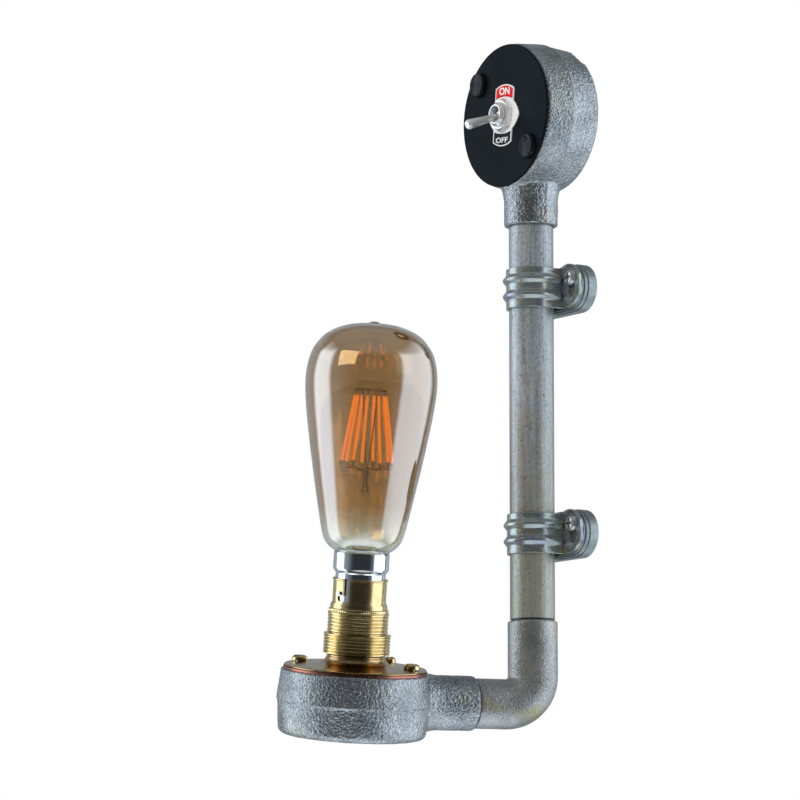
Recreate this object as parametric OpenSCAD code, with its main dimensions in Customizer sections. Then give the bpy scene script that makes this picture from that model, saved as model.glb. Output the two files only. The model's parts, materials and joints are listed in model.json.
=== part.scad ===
/* [Conduit and wall] */
// Outside diameter of the conduit
pipe_od = 20; // [19:0.5:21]
// Wall of the conduit
pipe_wall = 1.6; // [1.2:0.1:2]
// Depth of the thread cut on the conduit and on the elbow's male end
thread_depth = 0.4; // [0.3:0.05:0.5]
// Length of thread engaged in each fitting
thread_len = 13; // [10:0.5:15]
// Distance from the wall to the conduit's axis
stand_off = 17.5; // [16.5:0.5:22]
// Distance between the two saddles
saddle_pitch = 110; // [80:5:140]
// Height of the switch box's axis above the middle of the saddles
box_height = 133; // [122:0.5:170]
// Depth of the arm's axis below the middle of the saddles
arm_drop = 130.5; // [118:0.5:160]
// Distance from the conduit's axis to the lamp's axis
arm_reach = 83; // [80:0.5:100]
// Turn of the arm about the conduit, from straight out of the wall
arm_swing = 16; // [-60:1:60]
// Turn of the lamp box about the arm, from upright
lamp_tilt = 10.5; // [-30:0.5:30]

/* [Conduit box castings] */
// Largest radius of a box, on the rim's side of its parting line
box_r = 33.7; // [33:0.1:35]
// Step of the outline at the parting line
parting_step = 0.4; // [0.2:0.1:0.8]
// Radius of the rim
rim_r = 32.5; // [32:0.1:33]
// Radius where the base's rounding starts
base_r = 32.5; // [32:0.1:33]
// Rounding of the base's edge
base_round = 3.2; // [2:0.2:4]
// Distance from the spout's axis to the rim
box_front = 13.2; // [13:0.2:15]
// Distance from the spout's axis to the back of the base
box_rear = 15.4; // [14:0.2:16]
// Wall of a box
box_wall = 2.8; // [2.4:0.1:3]
// Thickness of a box's base
box_floor = 2.8; // [2.4:0.1:3]
// Outside radius of a spout
spout_r = 12.1; // [11.8:0.1:12.6]
// Radius of the smooth cable way in a spout
spout_way_r = 8; // [7.5:0.1:8.3]
// Rounding between a spout and the round of its box
root_fillet = 6; // [3:0.5:8]
// Distance from the switch box's centre to its spout's end
switch_spout = 49.5; // [49:0.5:54]
// Distance from the lamp box's centre to its spout's end
lamp_spout = 55; // [53:0.5:56]
// Distance between a box's two tapped lugs
lug_pitch = 50.8; // [50:0.1:51.5]
// Radius of a lug
lug_r = 4.8; // [4.2:0.1:5.2]
// Angle of the switch box's lugs from its spout
switch_lug_angle = 48; // [45:1:55]
// Angle of the lamp box's lugs from its spout
lamp_lug_angle = -33; // [-38:1:-28]
// Width of the cast notch in the switch box's back edge
notch_w = 9; // [6:0.5:10]

/* [Box screws and cover] */
// Nominal diameter of the box screws
box_screw_d = 4; // [3.5:0.5:4]
// Length of a box screw under its head
box_screw_len = 9; // [7:0.5:10]
// Radius of a box screw's head
box_head_r = 3.5; // [3.2:0.1:3.8]
// Height of a box screw's head
box_head_h = 1.9; // [1.6:0.1:2.2]
// Radius of the black cover
cover_r = 32.2; // [31.6:0.1:32.4]
// Thickness of the black cover
cover_t = 1.2; // [1:0.1:1.5]
// Radius of a black screw cap
cap_r = 5.6; // [5:0.1:6]
// Height of a black screw cap
cap_h = 3; // [2.8:0.1:3.6]

/* [Toggle switch] */
// Outside diameter of the threaded bushing
bushing_d = 11; // [10.6:0.1:12]
// How far the bushing stands out of the cover
bushing_out = 5.6; // [5:0.1:7]
// Size across the flats of the toggle's nuts
nut_af = 13; // [13:0.5:15]
// Thickness of the front nut
front_nut_h = 2.6; // [2.2:0.1:3]
// Thickness of the rear nut
rear_nut_h = 2.2; // [1.8:0.1:2.2]
// Thickness of the lock washer
washer_t = 0.6; // [0.5:0.1:0.8]
// Thickness of the ON / OFF label plate
label_t = 0.6; // [0.4:0.1:0.8]
// Height of the label plate
label_h = 28; // [26:0.5:32]
// Width of the label plate's two panels
label_w = 14; // [12:0.5:17]
// Width of the label plate's oval middle
label_mid_w = 23.5; // [20:0.5:24]
// Height of the label plate's oval middle
label_mid_h = 17; // [14:0.5:19]
// Turn of the label plate from upright
label_turn = 6; // [0:1:12]
// Turn of the front nut, from a corner straight down
nut_turn = 15; // [0:1:59]
// Length of the switch body along the throw
body_l = 28; // [26:0.5:29]
// Width of the switch body
body_w = 15.6; // [14.5:0.2:16]
// Depth of the switch body
body_d = 14; // [13.6:0.1:14.4]
// Length of the lever from its pivot to its tip
lever_len = 20.8; // [18:0.2:24]
// Radius of the lever's tip
lever_tip_r = 2.3; // [1.6:0.1:2.4]
// Throw of the lever, from OFF to ON
lever_throw = 38; // [24:1:38]
// Throw of the rocking contact
rocker_throw = 17.1; // [12:0.1:18]

/* [Saddles] */
// Width of a saddle strap along the conduit
strap_w = 18; // [16:0.5:19]
// Thickness of the strap's sheet
strap_t = 1.2; // [1:0.1:1.4]
// Height of the two pressed ribs of a strap
rib_h = 1.5; // [0.8:0.1:1.8]
// Distance from a saddle screw to the end of its base
saddle_screw_end = 7.5; // [7:0.1:8.5]
// Height of the saddle screws above the strap's middle
saddle_screw_z = 3.9; // [2:0.1:4.2]
// Length of the slot in a strap's ear
slot_len = 12; // [10:0.5:13]
// Width of the slot in a strap's ear
slot_w = 4.6; // [4.4:0.1:4.8]
// Length of a saddle base, across the conduit
base_len = 52; // [50:0.5:55]
// Width of a saddle base, along the conduit
base_w = 21.5; // [21:0.5:23]
// Wall of a saddle base
base_wall = 1.8; // [1.5:0.1:2.2]
// Diameter of the wall screw's hole
wall_hole_d = 5; // [4.5:0.1:5.5]

/* [Elbow] */
// Outside radius of the elbow
elbow_r = 11.1; // [10.8:0.1:11.6]
// Radius of the elbow's bend, on its centre line
bend_r = 12.6; // [12.2:0.1:14]
// Length of the elbow's upper leg, from the arm's axis to its rim
elbow_leg = 37; // [34:0.5:40]

/* [Lamp holder] */
// Radius of the copper gasket
gasket_r = 31.5; // [31.2:0.1:32]
// Thickness of the copper gasket
gasket_t = 1; // [0.8:0.1:1.2]
// Radius of the brass holder plate
plate_r = 31.1; // [30.6:0.1:31.1]
// Thickness of the brass sheet
brass_t = 0.8; // [0.6:0.1:0.9]
// Height of the plate's neck above the gasket
neck_h = 9.3; // [9.1:0.1:10]
// Radius of the plate's threaded neck
neck_r = 11.9; // [11.7:0.05:12]
// Inside radius of the neck
neck_bore_r = 9.8; // [9.4:0.1:10]
// Outside radius of the lower ring
ring_r = 14.6; // [14.2:0.1:15]
// Height of the lower ring
ring_h = 8.8; // [8.4:0.1:9]
// Outside radius of the shade ring
shade_r = 13.3; // [13.1:0.1:13.8]
// Height of the shade ring
shade_h = 13; // [12.6:0.1:13.4]
// Inside radius of the bayonet barrel
barrel_bore_r = 11.2; // [11.15:0.05:11.3]
// Wall of the plain part of the barrel
barrel_wall = 0.5; // [0.4:0.05:0.55]
// Depth of the barrel's outside thread
barrel_thread = 0.4; // [0.3:0.05:0.45]
// Height of the barrel above its flange
barrel_h = 30; // [29:0.2:32]
// Distance from the lamp axis to a contact plunger
plunger_pitch_r = 5; // [4.6:0.1:5.4]
// Radius of a contact plunger
plunger_r = 2; // [1.8:0.1:2.1]
// Wire diameter of a plunger's spring
spring_wire = 0.45; // [0.35:0.05:0.5]
// Curls of a plunger's spring
spring_curls = 5; // [4:1:6]

/* [Bulb] */
// Radius of the bayonet cap
cap_shell_r = 10.95; // [10.85:0.05:11.05]
// Radius of the cap where it holds the glass
cap_top_r = 12.2; // [12:0.1:12.6]
// Height of the bayonet pins above the cap's contacts
pin_height = 6.5; // [6.2:0.1:6.9]
// Radius of a bayonet pin
pin_r = 1; // [0.9:0.05:1.1]
// How far the bulb is pushed in before it can be turned
push_travel = 2; // [1.4:0.1:2]
// Largest radius of the glass
glass_r = 28.8; // [27:0.2:30]
// Length of the glass, from the cap to its tip
glass_len = 100.8; // [94:0.2:104]
// Wall of the glass
glass_t = 0.9; // [0.7:0.1:1.1]
// Number of filaments
filaments = 8; // [4:1:8]
// Radius of a filament
filament_r = 0.9; // [0.7:0.1:1]
// Length of a filament
filament_len = 29; // [26:0.5:31]

/* [Wires] */
// Radius of an insulated wire
wire_r = 1.15; // [1:0.05:1.2]

/* [Hidden] */
$fn = 96;

// Clearances: a running thread or pin, a loose fit, and a cut that passes through a face
running = 0.05;
loose = 0.3;
through = 1;

// Threads are drawn at their mean radius
thread_r = pipe_od / 2 - thread_depth;
thread_bore_r = thread_r + running;
thread_gap = 0.8;
screw_root_r = box_screw_d / 2 - 0.35;
lug_depth = 10.5;

// Heights in a box's own frame, where Z leaves the open side and X leaves the spout
cavity_z = box_floor - box_rear;
cavity_r = rim_r - box_wall;
root_r = min(spout_r + 1.2, box_front - 0.2);
// The fillet touches the box's round and the spout's side
fillet_x = sqrt(pow(rim_r + root_fillet, 2) - pow(spout_r + root_fillet, 2));
fillet_angle = acos((spout_r + root_fillet) / (rim_r + root_fillet));
cover_z = box_front + cover_t;
label_z = cover_z + label_t;
washer_z = box_front - washer_t;
rear_nut_z = washer_z - rear_nut_h;
frame_t = 1;
frame_tab_w = 10;
frame_tab_h = 9;
frame_z = rear_nut_z - frame_t;
pivot_z = cover_z + 1;
body_z = frame_z - body_d;
bushing_r = bushing_d / 2;
bushing_face = cover_z + bushing_out;
body_floor = 2;
oval_r = (label_mid_w * label_mid_w + label_mid_h * label_mid_h) / (4 * label_mid_h);

// The lever and what it works
lever_root_r = 1.35;
ball_r = 2.9;
pin_rad = 0.75;
tail_len = 5.5;
plunger_len = 8.9;
plunger_tip_r = 1.1;
rocker_z = pivot_z - plunger_len - 0.9;
rocker_t = 1;
rocker_w = 4;
rocker_half = 9;
rocker_axle_r = 0.6;
rocker_dot = 0.5;
dot_x = 8.2;
terminal_w = 5;
terminal_t = 0.8;
terminal_out = 4.5;
load_x = 10.6;

// Connector strip on the floor of the switch box
strip_l = 20;
strip_w = 9;
strip_h = 9;
strip_x = 4;
strip_y = -17.5;
strip_ways = 3;
way_pitch = 6.5;
way_z = cavity_z + 4.5;

// Rear cable entry
grommet_flange_r = 6.6;
entry_x = grommet_flange_r + 3.1 - cavity_r;
entry_y = 3;
entry_r = 5;
grommet_bore_r = 3.3;
grommet_lip = 1.1;

// Saddles
strap_r = pipe_od / 2 + running;
ear_y = strap_r;
base_h = stand_off - ear_y;
saddle_screw_r = 1.6;
rib_pitch = 7.2;
rib_w = 5.2;
rib_drop = -0.4;
rib_end = ear_y - strap_t - 1;
ear_margin = 0.9;
ear_lift = 0.8;
slot_rise = 1.5;
slot_cut = strap_t + 2 * through;
saddle_screw_x = base_len / 2 - saddle_screw_end;
wall_hole_r = wall_hole_d / 2;

// Heights along the lamp's axis, from the arm's axis
gasket_z = box_front;
plate_z = gasket_z + gasket_t;
ring_z = plate_z + 6.4;
neck_z = plate_z + neck_h;
flange_t = 1;
flange_r = 12.6;
barrel_r = barrel_bore_r + barrel_wall;
barrel_thread_r = barrel_r + barrel_thread;
shade_z = ring_z + ring_h + loose;
barrel_top = neck_z + barrel_h;
thread_top = shade_z + 9;
pin_z = barrel_top - 6.6;
contact_z = pin_z - pin_height;
block_top = contact_z - 3.4;
block_r = barrel_bore_r - loose;
block_h = block_top - neck_z;
plunger_top = contact_z - loose;
plunger_z = block_top - 4;
well_z = block_top - 10;
slot_angle = 224.4;
pin_angle = 205;
slot_half = 1.3;
contact_angle = pin_angle - 90;

// The bulb, from its contacts upwards
cap_bottom = contact_z + 1;
insulator_h = 3;
shell_t = 0.35;
neck_step = pin_z + 9.8;
cap_top = pin_z + 17.9;
glass_base = cap_top;
glass_tip = glass_base + glass_len;
glass_neck_r = cap_top_r - shell_t - 0.1;
seal_len = 4;
neck_round = 5.6;
dome_h = 27;
pip_h = 0.8;
belly_z = glass_tip - dome_h;
dome_power = 2.25;
stem_top = glass_base + 35.5;
filament_base = glass_base + 38.5;
filament_low_r = 11.4;
filament_high_r = 6.6;

// Where the wires are parted at the two turning joints
pipe_end = arm_drop - elbow_leg + thread_len;
wire_gap = 0.3;
arm_end = arm_reach - lamp_spout + thread_len;
// Places of the live, neutral and earth wires across the conduit, towards +X and +Y
wire_places = [[2.4, 1.2], [-2.4, 1.2], [0, -2.6]];
wire_sides = 8;
wire_steps = 4;
bend_steps = 7;

// Plain vector helpers
function unit(v) = v / norm(v);
function turned(p, a) = [p.x * cos(a) - p.y * sin(a), p.x * sin(a) + p.y * cos(a)];
// Points of an arc about a centre, from one angle to another
function arc(c, r, a0, a1, n) =
    [for (i = [0:n]) c + r * [cos(a0 + (a1 - a0) * i / n), sin(a0 + (a1 - a0) * i / n)]];
// A point of the smooth curve through four points
function curve_point(a, b, c, d, t) =
    0.5 * (2 * b + (c - a) * t + (2 * a - 5 * b + 4 * c - d) * t * t
    + (3 * b - a - 3 * c + d) * t * t * t);
// A smooth curve through a list of points, with a few steps in each stretch
function smooth(p, n) = concat([for (i = [0:len(p) - 2]) for (s = [0:n - 1])
    curve_point(p[max(i - 1, 0)], p[i], p[i + 1], p[min(i + 2, len(p) - 1)], s / n)],
    [p[len(p) - 1]]);
function directions(p) =
    [for (i = [0:len(p) - 1]) unit(p[min(i + 1, len(p) - 1)] - p[max(i - 1, 0)])];
// The side direction of each ring, carried along the path without twist
function carried(n, t) = unit(n - (n * t) * t);
function sides(t, first, i = 0, done = []) = i == len(t) ? done :
    sides(t, first, i + 1, concat(done, [carried(i == 0 ? first : done[i - 1], t[i])]));

// A round tube along a path, closed at both ends
module tube_along(p, r, n, first = [0.31, 0.52, 0.79]) {
    t = directions(p);
    s = sides(t, first);
    rings = [for (i = [0:len(p) - 1]) for (k = [0:n - 1])
        p[i] + r * (cos(360 * k / n) * s[i] + sin(360 * k / n) * cross(t[i], s[i]))];
    last = (len(p) - 1) * n;
    walls = [for (i = [0:len(p) - 2]) for (k = [0:n - 1]) let (m = (k + 1) % n)
        each [[i * n + k, i * n + m, (i + 1) * n + m], [i * n + k, (i + 1) * n + m, (i + 1) * n + k]]];
    ends = [[for (k = [n - 1:-1:0]) k], [for (k = [0:n - 1]) last + k]];
    polyhedron([for (v = rings) v], [for (f = concat(walls, ends)) [for (j = [len(f) - 1:-1:0]) f[j]]]);
}

// Frames of the sub-assemblies
module at_switch_box() translate([0, -stand_off, box_height]) rotate([90, 0, 0]) rotate([0, 0, -90])
    children();
module at_arm() translate([0, -stand_off, -arm_drop]) rotate([0, 0, 90 - arm_swing]) children();
module at_lamp() at_arm() translate([-arm_reach, 0, 0]) rotate([lamp_tilt, 0, 0]) children();
module at_saddle(z) translate([0, -stand_off, z]) children();
module at_both_lugs(angle) for (a = [angle, angle + 180]) rotate([0, 0, a])
    translate([lug_pitch / 2, 0, 0]) rotate([0, 0, -a]) children();

// Repeated shapes
module ring(r_out, r_in, h) difference() {
    cylinder(r = r_out, h = h);
    translate([0, 0, -through]) cylinder(r = r_in, h = h + 2 * through);
}
module hex_nut(af, h, bore) difference() {
    intersection() {
        cylinder(d = af / cos(30), h = h, $fn = 6);
        rotate_extrude() polygon([[0, 0], [af / 2 + 0.9, 0], [af / 2 + 0.9, h - 0.7], [af / 2 - 0.1, h],
            [0, h]]);
    }
    translate([0, 0, -through]) cylinder(r = bore, h = h + 2 * through);
}
module round_block(l, w, h, r) {
    translate([-l / 2 + r, -w / 2, 0]) cube([l - 2 * r, w, h]);
    translate([-l / 2, -w / 2 + r, 0]) cube([l, w - 2 * r, h]);
    for (x = [-1, 1], y = [-1, 1]) translate([x * (l / 2 - r), y * (w / 2 - r), 0])
        cylinder(r = r, h = h, $fn = 32);
}
// A slotted or plain screw: root-size shank below Z = 0, pan head above
module pan_screw(root_r, len, head_r, head_h) {
    translate([0, 0, -len]) cylinder(r = root_r, h = len);
    rotate_extrude() polygon(concat([[0, 0], [head_r, 0]],
        arc([head_r - 0.75 * head_h, 0.25 * head_h], 0.75 * head_h, 0, 90, 6), [[0, head_h]]));
}
// Thread seen as fine rings: a wall of the given radius with grooves cut into it
function ribbed(r, depth, z0, pitch, count) = [for (i = [0:count - 1]) each [
    [r - depth, z0 + i * pitch], [r, z0 + (i + 0.3) * pitch], [r, z0 + (i + 0.7) * pitch],
    [r - depth, z0 + (i + 1) * pitch]]];

// A round conduit box with a spout along +X and two tapped lugs
module box_casting(spout_len, lug_angle) difference() {
    union() {
        rotate_extrude() polygon(concat([[0, -box_rear]],
            arc([base_r - base_round, base_round - box_rear], base_round, -90, 0, 8),
            [[box_r - parting_step, -0.5], [box_r, 0], [rim_r, box_front - 0.5],
            [rim_r - 0.5, box_front], [0, box_front]]));
        rotate([0, 90, 0]) rotate_extrude() polygon(concat([[0, 0], [root_r, 0],
            [root_r, box_r - 1.2], [spout_r + 0.3, box_r + 1.4], [spout_r, box_r + 4]],
            arc([spout_r - 1, spout_len - 1], 1, 0, 90, 6), [[0, spout_len]]));
        intersection() {
            rotate([0, 90, 0]) rotate_extrude() polygon(concat([[0, fillet_x - 2 * root_fillet]],
                arc([spout_r + root_fillet, fillet_x], root_fillet, 180 + fillet_angle, 180, 8),
                [[0, fillet_x]]));
            translate([0, -2 * box_r, base_round - box_rear])
                cube([2 * box_r, 4 * box_r, box_front - 1 - base_round + box_rear]);
        }
    }
    difference() {
        translate([0, 0, cavity_z]) cylinder(r = cavity_r, h = box_front - cavity_z + through);
        at_both_lugs(lug_angle) translate([0, 0, cavity_z - through])
            cylinder(r = lug_r, h = box_front - cavity_z + 3 * through);
    }
    at_both_lugs(lug_angle) translate([0, 0, box_front - lug_depth])
        cylinder(r = screw_root_r + running, h = lug_depth + through);
    rotate([0, 90, 0]) translate([0, 0, cavity_r - 5])
        cylinder(r = spout_way_r, h = spout_len - cavity_r + 5);
    rotate([0, 90, 0]) translate([0, 0, spout_len - thread_len - through])
        cylinder(r = thread_bore_r, h = thread_len + 2 * through);
}

module switch_box() color("lightslategray") at_switch_box() difference() {
    box_casting(switch_spout, switch_lug_angle);
    rotate([0, 0, 144]) translate([base_r - 1.5, -notch_w / 2, -box_rear - through])
        cube([6, notch_w, 4 + through]);
    translate([entry_x, entry_y, -box_rear - through]) cylinder(r = entry_r, h = box_floor + 2 * through);
}

module switch_cover() color([0.06, 0.06, 0.07]) at_switch_box() translate([0, 0, box_front]) difference() {
    cylinder(r = cover_r, h = cover_t);
    translate([0, 0, -through]) cylinder(r = bushing_r + 0.15, h = cover_t + 2 * through);
    at_both_lugs(switch_lug_angle) translate([0, 0, -through])
        cylinder(r = box_screw_d / 2 + 0.2, h = cover_t + 2 * through);
}

module cover_screws() color("silver") at_switch_box() translate([0, 0, cover_z])
    at_both_lugs(switch_lug_angle) pan_screw(screw_root_r, box_screw_len, box_head_r, box_head_h);

// A domed cap that snaps over each screw's head
module screw_caps() color([0.07, 0.07, 0.07]) at_switch_box() translate([0, 0, cover_z])
    at_both_lugs(switch_lug_angle) difference() {
        rotate_extrude() polygon(concat([[0, 0], [cap_r, 0]],
            arc([cap_r - 1.4, cap_h - 1.9], 1.4, 0, 65, 6), [[0, cap_h]]));
        translate([0, 0, -through]) cylinder(r = box_head_r + 0.1, h = box_head_h + 0.1 + through);
    }

// Two panels and an oval middle, which is where two large discs overlap
module switch_label() color("white") at_switch_box() translate([0, 0, cover_z])
    rotate([0, 0, -label_turn]) difference() {
    union() {
        intersection() {
            translate([-label_h / 2, -label_w / 2, 0]) cube([label_h, label_w, label_t]);
            cylinder(r = label_h / 2, h = label_t);
        }
        intersection() {
            translate([label_mid_h / 2 - oval_r, 0, 0]) cylinder(r = oval_r, h = label_t);
            translate([oval_r - label_mid_h / 2, 0, 0]) cylinder(r = oval_r, h = label_t);
        }
    }
    translate([0, 0, -through]) cylinder(r = bushing_r + 0.1, h = label_t + 2 * through);
}

module front_nut() color("silver") at_switch_box() translate([0, 0, label_z])
    rotate([0, 0, -nut_turn]) hex_nut(nut_af, front_nut_h, bushing_r + running);

module lock_washer() color("silver") at_switch_box() translate([0, 0, washer_z])
    ring(bushing_r + 2.2, bushing_r + 0.1, washer_t);

module rear_nut() color("silver") at_switch_box() translate([0, 0, rear_nut_z])
    hex_nut(nut_af, rear_nut_h, bushing_r + running);

// Threaded bushing with the frame plate that folds over the switch body
module switch_bushing() color("silver") at_switch_box() difference() {
    union() {
        translate([0, 0, frame_z]) rotate_extrude() polygon(concat([[0, 0], [bushing_r, 0]],
            ribbed(bushing_r, 0.3, bushing_face - frame_z - 4.2, 0.75, 4),
            [[bushing_r - 0.9, bushing_face - frame_z - 0.3], [bushing_r - 1.2, bushing_face - frame_z],
            [0, bushing_face - frame_z]]));
        translate([-body_l / 2, -body_w / 2, frame_z]) cube([body_l, body_w, frame_t]);
        translate([-frame_tab_w / 2, -body_w / 2 - loose - frame_t, frame_z])
            cube([frame_tab_w, body_w + 2 * loose + 2 * frame_t, frame_t]);
        for (y = [-body_w / 2 - loose - frame_t, body_w / 2 + loose])
            translate([-frame_tab_w / 2, y, frame_z - frame_tab_h])
                cube([frame_tab_w, frame_t, frame_tab_h + frame_t]);
    }
    translate([0, 0, frame_z - through]) cylinder(r = 3.8, h = bushing_face - frame_z + 2 * through);
    translate([0, 20, pivot_z]) rotate([90, 0, 0]) cylinder(r = pin_rad + running, h = 40);
}

module lever_pin() color("silver") at_switch_box() translate([0, bushing_r - 0.2, pivot_z])
    rotate([90, 0, 0]) cylinder(r = pin_rad, h = bushing_d - 0.4);

module switch_body() color([0.35, 0.16, 0.08]) at_switch_box() difference() {
    translate([0, 0, body_z]) round_block(body_l, body_w, body_d, 1);
    translate([-11.6, -4.4, body_z + body_floor]) cube([23.8, 8.8, body_d]);
    translate([0, 0, body_z - through]) {
        for (y = [-2.6, 2.6]) translate([-1.3, y - 0.5, 0]) cube([2.6, 1, 4]);
        translate([load_x - 0.5, -1.5, 0]) cube([1, 3, 4]);
    }
}

// Everything that turns with the lever is drawn along its own axis, tail down
module lever_frame() at_switch_box() translate([0, 0, pivot_z]) rotate([0, lever_throw / 2, 0]) children();

module toggle_lever() color("silver") lever_frame() difference() {
    union() {
        rotate_extrude() polygon(concat([[0, -tail_len], [lever_root_r, -tail_len], [lever_root_r, -2.6]],
            arc([0, 0], ball_r, -62, 62, 13),
            [[lever_root_r, 3], [lever_tip_r, lever_len - 1.6], [lever_tip_r - 0.25, lever_len - 0.7],
            [lever_tip_r - 0.8, lever_len - 0.15], [0, lever_len]]));
    }
    translate([0, 0, -tail_len - through]) cylinder(r = 0.95, h = 3 + through);
    translate([0, 10, 0]) rotate([90, 0, 0]) cylinder(r = pin_rad + 1.4 * running, h = 20);
}

// Nylon plunger in the lever's tail that works the rocking contact
module lever_plunger() color("white") lever_frame() {
    translate([0, 0, -tail_len - 0.3]) cylinder(r = 0.9, h = 3);
    rotate_extrude() polygon(concat([[0, -plunger_len]],
        arc([0, plunger_tip_r - plunger_len], plunger_tip_r, -90, 0, 8),
        [[plunger_tip_r, -tail_len - 0.3], [0, -tail_len - 0.3]]));
}

module contact_rocker() color("peru") at_switch_box() translate([0, 0, rocker_z])
    rotate([0, -rocker_throw / 2, 0]) {
        translate([-rocker_half, -rocker_w / 2, -rocker_t / 2]) cube([2 * rocker_half, rocker_w, rocker_t]);
        translate([0, 3.1, 0]) rotate([90, 0, 0]) cylinder(r = rocker_axle_r, h = 6.2);
        translate([dot_x, 0, -rocker_t / 2 - rocker_dot]) cylinder(r = 1.2, h = rocker_dot + 0.2);
    }

// Strip that carries the rocker's axle between two ears and comes out as the line terminal
module line_terminal() color("goldenrod") at_switch_box() difference() {
    union() {
        for (y = [-1, 1]) translate([-1.2, y * 2.6 - 0.35, body_z - 0.6])
            cube([2.4, 0.7, rocker_z + 1.4 - body_z + 0.6]);
        translate([-1.2, -2.95, body_z - 0.9]) cube([2.4, 5.9, 0.9]);
        translate([-terminal_t / 2, -terminal_w / 2, body_z - terminal_out])
            cube([terminal_t, terminal_w, terminal_out]);
    }
    translate([0, 5, rocker_z]) rotate([90, 0, 0]) cylinder(r = rocker_axle_r + running, h = 10);
}

// Fixed contact under the rocker's end, which comes out as the load terminal
dot_low = rocker_z - dot_x * sin(rocker_throw / 2) - (rocker_t / 2 + rocker_dot) * cos(rocker_throw / 2);
module load_terminal() color("goldenrod") at_switch_box() {
    translate([load_x - terminal_t / 2, -1.4, body_z]) cube([terminal_t, 2.8, dot_low - 0.5 - body_z]);
    translate([load_x - 4, -1.4, dot_low - 1]) cube([4 + terminal_t / 2, 2.8, 0.7]);
    translate([load_x - terminal_t / 2, -terminal_w / 2, body_z - terminal_out])
        cube([terminal_t, terminal_w, terminal_out]);
}

function way_x(i) = strip_x + (i - (strip_ways - 1) / 2) * way_pitch;
module connector_block() color("ivory") at_switch_box() difference() {
    translate([strip_x, strip_y, cavity_z]) round_block(strip_l, strip_w, strip_h, 0.8);
    for (i = [0:strip_ways - 1]) {
        translate([way_x(i), strip_y + strip_w, way_z]) rotate([90, 0, 0])
            cylinder(r = wire_r + 0.35, h = 2 * strip_w);
        for (y = [-2.4, 2.4]) translate([way_x(i), strip_y + y, way_z])
            cylinder(r = 1.3, h = strip_h);
    }
}
module connector_screws() color("goldenrod") at_switch_box() for (i = [0:strip_ways - 1], y = [-2.4, 2.4])
    translate([way_x(i), strip_y + y, way_z + wire_r + 0.45]) cylinder(r = 1.2, h = 2.2);

module cable_grommet() color([0.12, 0.12, 0.12]) at_switch_box()
    translate([entry_x, entry_y, -box_rear - grommet_lip]) difference() {
        union() {
            cylinder(r = entry_r - running, h = box_floor + 2 * grommet_lip);
            cylinder(r = grommet_flange_r, h = grommet_lip - 0.02);
            translate([0, 0, box_floor + grommet_lip + 0.02])
                cylinder(r = grommet_flange_r, h = grommet_lip - 0.02);
        }
        translate([0, 0, -through])
            cylinder(r = grommet_bore_r, h = box_floor + 2 * grommet_lip + 2 * through);
    }

// Conduit with its two threaded ends; a short stretch of thread shows above the elbow
module conduit_pipe() color("silver") translate([0, -stand_off, 0]) {
    top = box_height - switch_spout - loose;
    low = -arm_drop + elbow_leg + thread_gap;
    difference() {
        union() {
            translate([0, 0, low]) cylinder(d = pipe_od, h = top - low);
            translate([0, 0, -pipe_end]) cylinder(r = thread_r, h = pipe_end + top + thread_len);
        }
        translate([0, 0, -pipe_end - through])
            cylinder(r = pipe_od / 2 - pipe_wall, h = 2 * pipe_end + 2 * box_height);
    }
}

// Sheet strap over the conduit with two pressed ribs and an ear on each side
module saddle_strap() color("gainsboro") difference() {
    union() {
        intersection() {
            rotate_extrude() polygon(concat([[strap_r, -strap_w / 2]],
                [for (p = rib_profile()) [strap_r + strap_t + p.x, p.y]], [[strap_r, strap_w / 2]]));
            translate([-base_len / 2, -base_len / 2, -strap_w])
                cube([base_len, base_len / 2, 2 * strap_w]);
        }
        for (s = [-1, 1]) {
            translate([s > 0 ? strap_r : -strap_r - strap_t, 0, -strap_w / 2])
                cube([strap_t, ear_y, strap_w]);
            mirror([s > 0 ? 0 : 1, 0, 0]) translate([0, rib_end, 0]) rotate([90, 0, 0])
                linear_extrude(height = rib_end) polygon(concat(
                    [[strap_r + strap_t / 2, -strap_w / 2]],
                    [for (p = rib_profile()) [strap_r + strap_t + p.x, p.y]],
                    [[strap_r + strap_t / 2, strap_w / 2]]));
            strap_ear(s);
        }
    }
    for (s = [-1, 1]) translate([s * saddle_screw_x, ear_y - strap_t - through, slot_rise])
        for (z = [-1, 1]) translate([0, 0, z * (slot_len - slot_w) / 2]) rotate([-90, 0, 0])
            cylinder(d = slot_w, h = slot_cut, $fn = 48);
    for (s = [-1, 1]) translate([s * saddle_screw_x - slot_w / 2, ear_y - strap_t - through,
        slot_rise - (slot_len - slot_w) / 2]) cube([slot_w, slot_cut, slot_len - slot_w]);
}
// Height of the strap's sheet over its own surface, along the conduit
function rib_profile() = let (low = -rib_drop - rib_pitch / 2, high = -rib_drop + rib_pitch / 2)
    concat([[0, -strap_w / 2]], one_rib(low), one_rib(high), [[0, strap_w / 2]]);
function one_rib(z) = [[0, z - rib_w / 2], [0.75 * rib_h, z - rib_w / 5], [rib_h, z],
    [0.75 * rib_h, z + rib_w / 5], [0, z + rib_w / 2]];
// Flat ear with a round end
module strap_ear(s) {
    ear_r = base_w / 2 - ear_margin;
    x1 = base_len / 2 - ear_margin - ear_r;
    flat = x1 - strap_r + 4;
    translate([0, ear_y - strap_t, 0]) {
        translate([s > 0 ? strap_r : -strap_r - flat, 0, -strap_w / 2]) cube([flat, strap_t, strap_w]);
        intersection() {
            translate([s * x1, 0, ear_lift]) rotate([-90, 0, 0]) cylinder(r = ear_r, h = strap_t);
            translate([s > 0 ? strap_r : -strap_r - base_len, -1, -base_len / 2])
                cube([base_len, strap_t + 2, base_len]);
        }
    }
}
module upper_saddle_strap() at_saddle(saddle_pitch / 2) saddle_strap();
module lower_saddle_strap() at_saddle(-saddle_pitch / 2) saddle_strap();

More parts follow.
